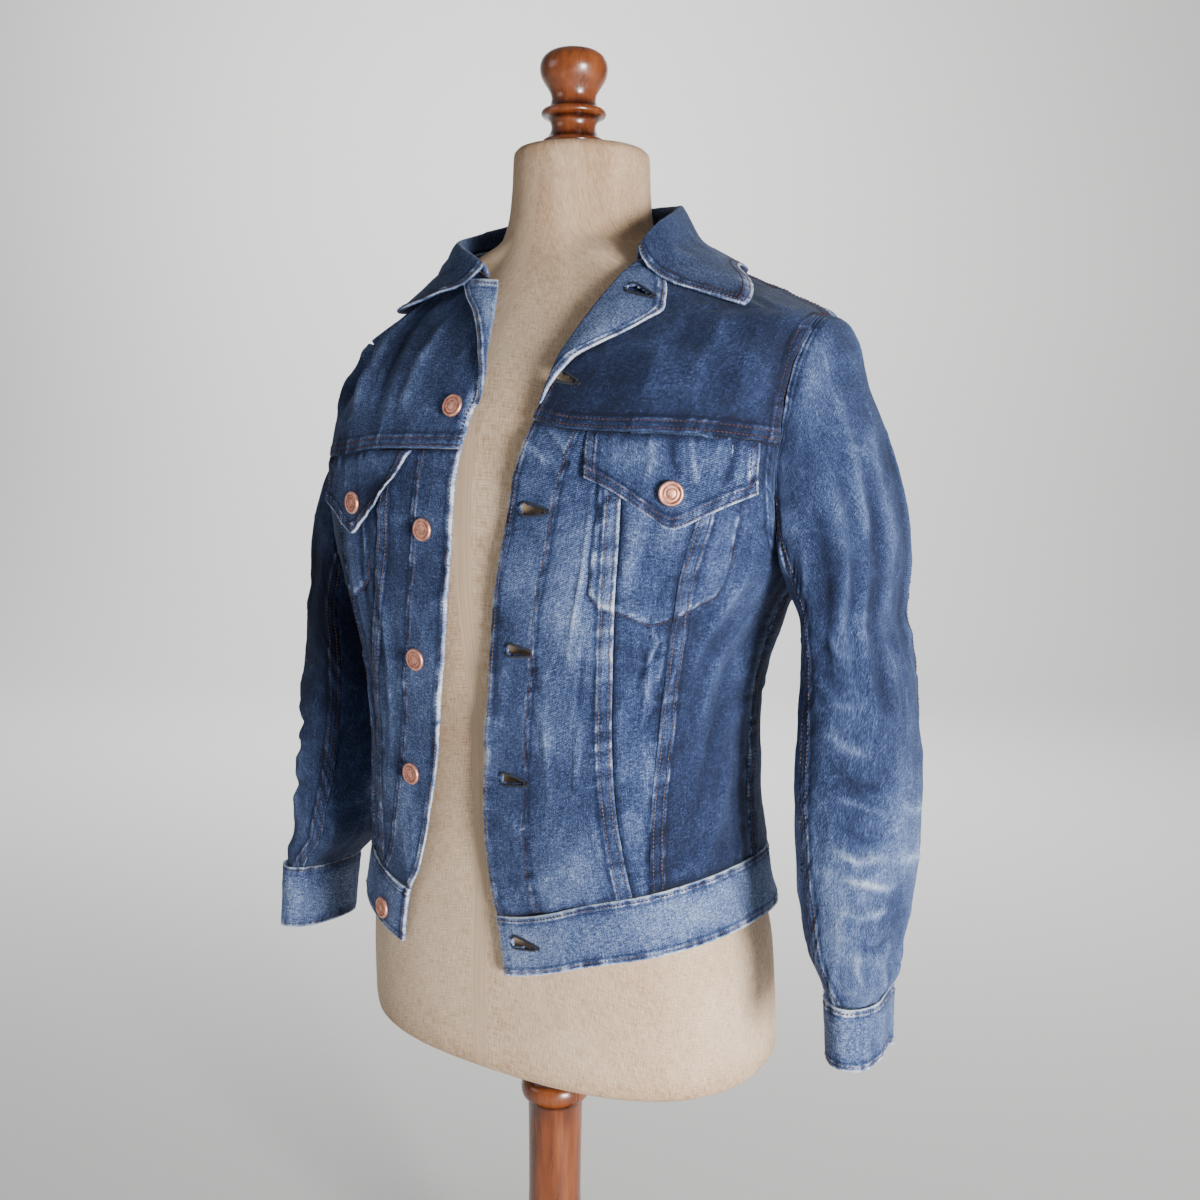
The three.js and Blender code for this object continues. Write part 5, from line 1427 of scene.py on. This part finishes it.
# Creases of the sleeves: their turns are degrees round the sleeve and their heights shares of the way down.
SLEEVE_LINES = {
    1: crease_rows([
        (2.0, 8, 0.10, -30, 0.04, -38, 0.22, -44, 0.42), (1.8, 8, 0.10, -58, 0.05, -64, 0.25, -66, 0.45),
        (-2.0, 8, -0.08, -78, 0.08, -84, 0.26, -92, 0.45), (1.8, 9, 0.09, -8, 0.10, -12, 0.32, -16, 0.52),
        (-1.8, 7, -0.06, -24, 0.14, -28, 0.34, -34, 0.50), (-1.6, 9, -0.05, 14, 0.06, 12, 0.3, 10, 0.5),
        (2.0, 9, 0.08, 34, 0.08, 30, 0.32, 22, 0.55), (1.8, 6, 0.10, -98, 0.30, -80, 0.36, -62, 0.385),
        (1.8, 6, 0.11, -104, 0.40, -84, 0.455, -60, 0.475), (1.8, 6, 0.12, -100, 0.50, -78, 0.53, -50, 0.55),
        (-2.0, 6, -0.06, -96, 0.555, -70, 0.60, -34, 0.60), (2.0, 5, 0.18, -92, 0.62, -66, 0.635, -30, 0.655),
        (1.5, 5, 0.14, -20, 0.63, 0, 0.665, 24, 0.665), (-1.8, 5, -0.05, -90, 0.665, -60, 0.70, -24, 0.70),
        (1.9, 5, 0.20, -96, 0.71, -64, 0.735, -30, 0.73), (1.7, 4.5, 0.20, -88, 0.765, -56, 0.775, -14, 0.795),
        (1.5, 5, 0.14, -24, 0.75, 0, 0.745, 28, 0.77), (1.6, 5, 0.16, -94, 0.82, -60, 0.835, -22, 0.825),
        (-1.5, 5, -0.04, -80, 0.88, -44, 0.895, -10, 0.885), (1.4, 6, 0.10, -60, 0.86, -66, 0.92, -60, 0.97),
        (1.4, 6, 0.10, -20, 0.88, -24, 0.94, -22, 0.985), (-1.4, 6, -0.04, 14, 0.84, 18, 0.92, 14, 0.98),
        (2.0, 9, 0.06, 86, 0.10, 92, 0.3, 96, 0.5), (-1.8, 9, -0.05, 120, 0.14, 112, 0.34, 118, 0.52),
        (2.2, 8, 0.07, 150, 0.16, 160, 0.26, 196, 0.30), (2.2, 7, 0.10, 140, 0.40, 170, 0.46, 206, 0.44),
        (-2.0, 7, -0.04, 130, 0.52, 164, 0.56, 200, 0.55), (2.0, 6, 0.12, 128, 0.62, 160, 0.66, 206, 0.64),
        (1.8, 6, 0.12, 120, 0.74, 158, 0.77, 200, 0.755), (1.6, 6, 0.10, 108, 0.84, 150, 0.87, 190, 0.85),
    ], SLEEVE_PER_DEGREE, SLEEVE_LONG),
}
SLEEVE_LINES[-1] = [([(a * 0.985 + 3, d + 5) for a, d in line], h * (0.25 if i > 6 else 0.7), w, 0.6 * f)
                    for i, (line, h, w, f) in enumerate(SLEEVE_LINES[1])]


def nearest(p, others):
    """For each point of p, the nearest of the others."""
    return others[((p[:, None] - others[None]) ** 2).sum(-1).argmin(1)]


def meet_body(p, side, name):
    """Draw the sleeve's head to the body's armhole, so that no gap shows at the seam."""
    pieces = (f"front_{name}_side", f"yoke_front_{name}", f"back_{name}_side", "yoke_back")
    cloths = np.concatenate([PIECES[f"cloth_{k}"]["p"].reshape(-1, 3) for k in pieces])
    away = nearest(p[0], cloths[side * cloths[:, 0] > 120]) - p[0]
    gap = np.linalg.norm(away, axis=-1, keepdims=True)
    share = np.clip(1 - 0.4 / np.maximum(gap, 0.4), 0, 1) * np.minimum(1, 4 / np.maximum(gap, 4))
    move = smooth_line(away * share, 1)
    return p + move[None] * ease(1 - lengths(p, 0) / 14)[..., None]


def add_sleeve(side, name):
    """The two halves of a sleeve, and its cuff."""
    halves = (("upper", SLEEVE_FRONT - 360, SLEEVE_BACK, 111), ("under", SLEEVE_BACK, SLEEVE_FRONT, 121))
    for part, start, end, seed in halves:
        p, n, around, down = sleeve_face(side, start, end, 90, 240)
        p = meet_body(p, side, name)
        bands = [("low", 4, 0.3, 0.5)]
        rows = []
        if part == "upper":
            bands += [("left", 10, 0.7, 0.45), ("right", 10, 0.7, 0.45)]
            rows = rows_on(["left", "right"], "cream", 2.6, 8.4)
        elbow, wrist = np.exp(-(((down - 0.42) / 0.16) ** 2)), ease((down - 0.50) / 0.35)
        # The sleeve's base tone, with the right sleeve darker as painted shade; darker at the elbow and paler towards
        # the wrist.
        fade = PALE["sleeve"][side] - 0.07 * elbow + 0.13 * wrist
        made = cloth(f"cloth_sleeve_{name}_{part}", p, n, base=0.0, bands=bands, lines=SLEEVE_LINES[side],
                     where=(around * SLEEVE_PER_DEGREE, down * SLEEVE_LONG), rows=rows, crumple=1.15,
                     seed=seed + 30 * (side < 0))
        lift_fade(made, fade)
    p, n, under = cuff_face(side, 288, 24)
    cloth(f"cloth_cuff_{name}", p, n, under=under, base=PALE["cuff"], crumple=0.6, seed=141 + side,
          bands=[("low", *CUFF_RIM), ("top", 4, 0.3, 0.5)],
          rows=[("top", 3, "cream"), ("low", 3.2, "cream"), *rows_on(["left", "right"], "cream", 3)],
          raw=("low", "top", "left", "right"))


for side, name in SIDES:
    add_fronts(side, name)
    add_lapel(side, name)
    add_flap(side, name)
add_back()
for side, name in SIDES:
    add_sleeve(side, name)
add_waistband()
add_collar()
for hole in HOLES:
    sew_hole(hole)


def sew_bag(side, name):
    """One row of stitches round the pocket bag, laid on the finished cloth of the three panels."""
    line = np.array(BAGS[side][1:-1])
    d = run_along(line)
    at = np.arange(0, d[-1], 1.5)
    turn, z = pick(at, d, line).T
    turn = turn / MM_PER_DEGREE
    p, n = body_point(turn, z)
    panels = np.concatenate([PIECES[f"cloth_front_{name}_{part}"]["p"].reshape(-1, 3)
                             for part in ("centre", "middle", "side")])
    panels = panels[(panels[:, 2] > 670) & (panels[:, 2] < 830)]
    near = nearest(p, panels)
    high = smooth_line(((near - p) * n).sum(-1)[:, None], 2)
    stitch_path(p + n * (high + 0.1), n, "rust")


for side, name in SIDES:
    sew_bag(side, name)


# ---- turned and cast pieces
def turned(name, node, profile, sides, material, slot, place=None, axis=None):
    """A body of revolution from (radius, height, darkening) rows, in millimetres."""
    rows = np.array(profile, float)
    a = np.linspace(0, 2 * np.pi, sides, endpoint=False)
    ring = np.stack([np.cos(a), np.sin(a)], -1)
    points = np.concatenate([rows[:, None, :1] * ring[None], np.repeat(rows[:, None, 1:2], sides, 1)], -1)
    index = np.arange(len(rows) * sides).reshape(len(rows), sides)
    nxt = np.roll(index, -1, 1)
    quads = np.stack([index[:-1], nxt[:-1], nxt[1:], index[1:]], -1).reshape(-1, 4)
    ends = [index[0][::-1][None], index[-1][None]]
    fades = np.repeat(rows[:, 2:3], sides, 1)
    ob = mesh_object(name, points, [quads, *ends], material, fades)
    m = Matrix.Identity(4)
    if axis is not None:
        m = Vector((0, 0, 1)).rotation_difference(Vector(axis)).to_matrix().to_4x4()
    m = Matrix.Translation(Vector(place) * MM) @ m if place is not None else m
    ob.data.transform(m)
    hand_over(ob, slot, node)


def add_button(node, spot):
    """A shank button with a rolled rim and a plain middle."""
    p, n = spot
    r, t = BUTTON_R, BUTTON_TALL
    rows = [
        (0.2, 0, 0), (4, 0, 0.2), (4, t * 0.35, 0.3), (r * 0.93, t * 0.38, 0.1), (r * 0.99, t * 0.5, 0),
        (r, t * 0.66, 0), (r * 0.97, t * 0.86, -0.06), (r * 0.90, t * 0.98, -0.1), (r * 0.82, t, -0.06),
        (r * 0.76, t * 0.93, 0.10), (r * 0.72, t * 0.86, 0.26), (r * 0.64, t * 0.85, 0.12), (r * 0.58, t * 0.90, 0.0),
        (r * 0.50, t * 0.92, -0.04), (r * 0.44, t * 0.88, 0.18), (r * 0.40, t * 0.86, 0.20), (r * 0.34, t * 0.91, 0),
        (r * 0.2, t * 0.95, -0.06), (0.2, t * 0.97, -0.05),
    ]
    turned(f"metal_{node}", node, rows, 48, COPPER, "copper", p + n * SEAM, n)


for i, (x, z, out) in enumerate(FRONT_BUTTONS):
    add_button(f"button_front_{i + 1}", body_spot(x, z, out))
for node, (x, z, out) in FLAP_BUTTONS.items():
    add_button(node, body_spot(x, z, out))


def bead(low, high, inner, outer):
    """A rounded ring of a turned profile, dark in its grooves."""
    rows, steps = [], 8
    for i in range(steps + 1):
        a = math.pi * i / steps
        rows.append((inner + (outer - inner) * math.sin(a), lerp(low, high, (1 - math.cos(a)) / 2),
                     0.34 * (1 - math.sin(a)) ** 3))
    return rows


finial = [(0.2, 0, 0), (22.6, 0, 0.3), *bead(1, 6, 22.5, 24.5), (20.6, 7.4, 0.3), (19.0, 10, 0.1), (17.7, 13, 0),
          (17.5, 16, 0), (18.4, 19, 0.05), (20, 21, 0.34), *bead(22, 29, 21, 25.5), (19.5, 30.4, 0.34),
          (18.1, 33, 0.1), (17.5, 36, 0), (17.8, 39, 0), (19, 42, 0), (21.1, 45.5, 0), (23.5, 49, 0),
          (25.4, 52.5, 0), (26.4, 56, 0), (26.7, 59, 0), (26.4, 62, 0), (25.2, 65.4, 0), (23.3, 68, 0),
          (20.4, 70.4, 0), (17, 72, 0), (12.6, 73.2, 0), (8, 73.8, 0), (3, 74, 0), (0.2, 74, 0)]
turned("wood_finial", "finial", finial, 96, WOOD, "wood", (-4, NECK_Y - 3, FORM_HIGH + 4 + SEAM))
COLLAR_LOW = 292  # where the iron collar stands on the pole
tall = FORM_LOW - COLLAR_LOW - SEAM
ring = [(0.2, 0, 0), (20.4, 0, 0), (21, 0.6, 0), (21, 10, 0), (20.7, 10.4, 0), (20.7, 11.2, 0), (21, 11.6, 0),
        (21, tall - 0.6, 0), (20.4, tall, 0), (0.2, tall, 0)]
turned("metal_pole_collar", "pole_collar", ring, 72, IRON, "iron", (0, 0, COLLAR_LOW))
B = BASE_TALL
top = COLLAR_LOW - SEAM
pole = [(0.2, B + SEAM, 0), (30, B + SEAM, 0.34), (32.4, B + 3, 0.1), (33, B + 8, 0), (31.6, B + 14, 0),
        (27, B + 22, 0.2), (23.6, B + 34, 0), (21.4, B + 50, 0), (21.2, 100, 0), (22.2, 120, 0), (23, 130, 0),
        (23.2, 143, 0.2), (23.6, 145.6, 0.36), *bead(146, 162, 24, 30), (23.4, 163, 0.36), (22.2, 170, 0.05),
        (21.6, 190, 0), (21.8, 220, 0), (22.2, 250, 0), (22.5, top - 24, 0.1), (23.6, top - 21, 0.36),
        *bead(top - 20, top - 3, 24, 28.5), (24.2, top - 2.4, 0.36), (24, top, 0), (0.2, top, 0)]
turned("wood_pole", "pole", pole, 96, WOOD, "wood")
base = [(0.2, 0, 0), (BASE_R - 4, 0, 0), (BASE_R - 1.2, 1, 0), (BASE_R, 4, 0), (BASE_R, 15, 0),
        (BASE_R - 1.6, 17.6, 0), (BASE_R - 6, 19.4, 0.05), (BASE_R - 9, 20, 0.3), (BASE_R - 12, 20.6, 0.05),
        (BASE_R - 50, 22.8, 0), (62, B - 0.4, 0.2), (60, B, 0), (0.2, B, 0)]
turned("wood_base", "base", base, 144, make_wood("plank_wood", (0.08, 1.0, 1.0)), "wood")


# ---- the linen form: one smooth closed body
def add_form():
    """The torso and neck of the form, closed above and below."""
    sides = 160
    turns = np.linspace(0, 360, sides, endpoint=False)
    low = FORM_LOW
    heights = np.concatenate([
        low + np.array([0, 0.7, 1.8, 3.2, 5, 7]), np.arange(low + 11, 870, 7.0), np.arange(870, FORM_HIGH - 8, 4.0),
        FORM_HIGH - np.array([7, 4, 2, 0.9, 0.2])])
    z = np.repeat(heights[:, None], sides, 1)
    p = form_point(np.repeat(turns[None], len(heights), 0), z)
    soft = 0.35 * noise(p, 60, 3)
    n = unit(p - np.array([0, NECK_Y, 0])) * [1, 1, 0]
    p = p + unit(n) * soft[..., None]
    rim = ease((heights - low) / 6) * 0.9 + 0.1
    centre = np.array([0, NECK_Y, 0])
    p[:, :, :2] = centre[:2] + (p[:, :, :2] - centre[:2]) * (0.985 + 0.015 * rim)[:, None, None]
    crown = p[-1]
    lids = [np.concatenate([centre[:2] + (crown[:, :2] - centre[:2]) * s, np.full((sides, 1), FORM_HIGH + h)], 1)
            for s, h in ((0.975, 0.9), (0.93, 1.7), (0.8, 2.9), (0.55, 3.8), (0.3, 4.0), (0.05, 4.0))]
    foot = [np.concatenate([centre[:2] + (p[0][:, :2] - centre[:2]) * s, np.full((sides, 1), low)], 1)
            for s in (0.05, 0.5, 0.97)]
    p = np.concatenate([np.stack(foot), p, np.stack(lids)])
    index = np.arange(p[..., 0].size).reshape(p.shape[:2])
    nxt = np.roll(index, -1, 1)
    quads = np.stack([index[:-1], nxt[:-1], nxt[1:], index[1:]], -1).reshape(-1, 4)
    uv = np.stack([np.repeat(turns[None], len(p), 0) * 2.7 / 10, lengths(p, 0) / 10], -1)
    height = p[..., 2]
    # Darker up the neck, partly painted shade and partly a browner tint of the linen; darker also in narrow bands at
    # the foot and at the crown.
    linen_darkening = 0.12 * ease((height - 880) / 110) + 0.16 * np.exp(-((height - low) / 16) ** 2)
    linen_darkening = linen_darkening + 0.10 * np.exp(-((height - FORM_HIGH - 2) / 7) ** 2)
    ob = mesh_object("linen_form", p, [quads, index[0][::-1][None], index[-1][None]], LINEN, linen_darkening, uv)
    hand_over(ob, "linen", "form_torso")


add_form()

# ---- stitches
build_stitches("stitches_rust", STITCHES["rust"], RUST)
build_stitches("stitches_cream", STITCHES["cream"], CREAM)
build_stitches("stitches_buttonholes", STITCHES["black"], BLACK)

# ---- floor, light and camera
pale, t, bsdf = nodes_of("pale_floor")
dress(t, bsdf, Base_Color=(0.86, 0.86, 0.85, 1), Roughness=0.75)


def sweep():
    """A floor that runs up into a wall far behind, as a studio's paper does."""
    away = np.array([-0.545, 0.839])
    beside = np.array([0.839, 0.545])
    profile = [(-7.0, 0.0), (3.2, 0.0)]
    profile += [(3.2 + 1.4 * math.sin(a), 1.4 - 1.4 * math.cos(a)) for a in np.linspace(0.1, math.pi / 2, 12)]
    profile += [(4.6, 7.0)]
    verts = [(*(away * d + beside * w), h) for d, h in profile for w in (-9.0, 9.0)]
    faces = [(2 * k, 2 * k + 1, 2 * k + 3, 2 * k + 2) for k in range(len(profile) - 1)]
    me = bpy.data.meshes.new("floor")
    me.from_pydata(verts, [], faces)
    me.polygons.foreach_set("use_smooth", [True] * len(faces))
    me.materials.append(pale)
    ob = bpy.data.objects.new("floor", me)
    bpy.context.scene.collection.objects.link(ob)
    ob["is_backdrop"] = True


sweep()


def lamp(name, at, aim, size, power, colour):
    """A soft rectangular lamp that points at aim."""
    data = bpy.data.lights.new(name, "AREA")
    data.shape = "RECTANGLE"
    data.size, data.size_y = size
    data.energy, data.color = power, colour
    ob = bpy.data.objects.new(name, data)
    ob.location = at
    ob.rotation_mode = "QUATERNION"
    ob.rotation_quaternion = (Vector(aim) - Vector(at)).to_track_quat("-Z", "Y")
    bpy.context.scene.collection.objects.link(ob)


lamp("key", (2.4, -1.1, 0.5), (0, 0, 0.6), (0.7, 0.8), 140, (1.0, 0.985, 0.965))
lamp("fill", (-1.9, -2.2, 1.5), (0, 0, 0.65), (1.4, 1.4), 12, (0.95, 0.97, 1.0))
lamp("wall", (-1.4, 1.2, 2.6), (-2.2, 4.4, 0.6), (2.4, 1.2), 130, (1.0, 1.0, 1.0))
lamp("back", (-0.6, 2.3, 1.8), (0, 0, 0.7), (1.6, 1.2), 12, (1.0, 1.0, 1.0))
world = bpy.data.worlds.new("studio")
world.use_nodes = True
world.node_tree.nodes["Background"].inputs[0].default_value = (0.80, 0.82, 0.84, 1)
world.node_tree.nodes["Background"].inputs[1].default_value = 0.24
bpy.context.scene.world = world

CAMERA_AT, LENS = (0.6009, -0.8651, 0.8160), 40.0
azimuth, down, roll = (math.radians(d) for d in (33.0, 7.0, 0.6))
back = Vector((math.sin(azimuth) * math.cos(down), -math.cos(azimuth) * math.cos(down), math.sin(down)))
right = Vector((math.cos(azimuth), math.sin(azimuth), 0))
up = back.cross(right)
x_axis = right * math.cos(roll) + up * math.sin(roll)
y_axis = -right * math.sin(roll) + up * math.cos(roll)
camera = bpy.data.objects.new("camera", bpy.data.cameras.new("camera"))
camera.data.sensor_width, camera.data.lens = 36.0, LENS
turned_to = Matrix((x_axis, y_axis, back)).transposed().to_4x4()
camera.matrix_world = Matrix.Translation(CAMERA_AT) @ turned_to
bpy.context.scene.collection.objects.link(camera)
bpy.context.scene.camera = camera

bpy.context.view_layer.update()
{"cad": [list(c) for c in CAD_BOX], "visual": [list(c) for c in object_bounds()]}
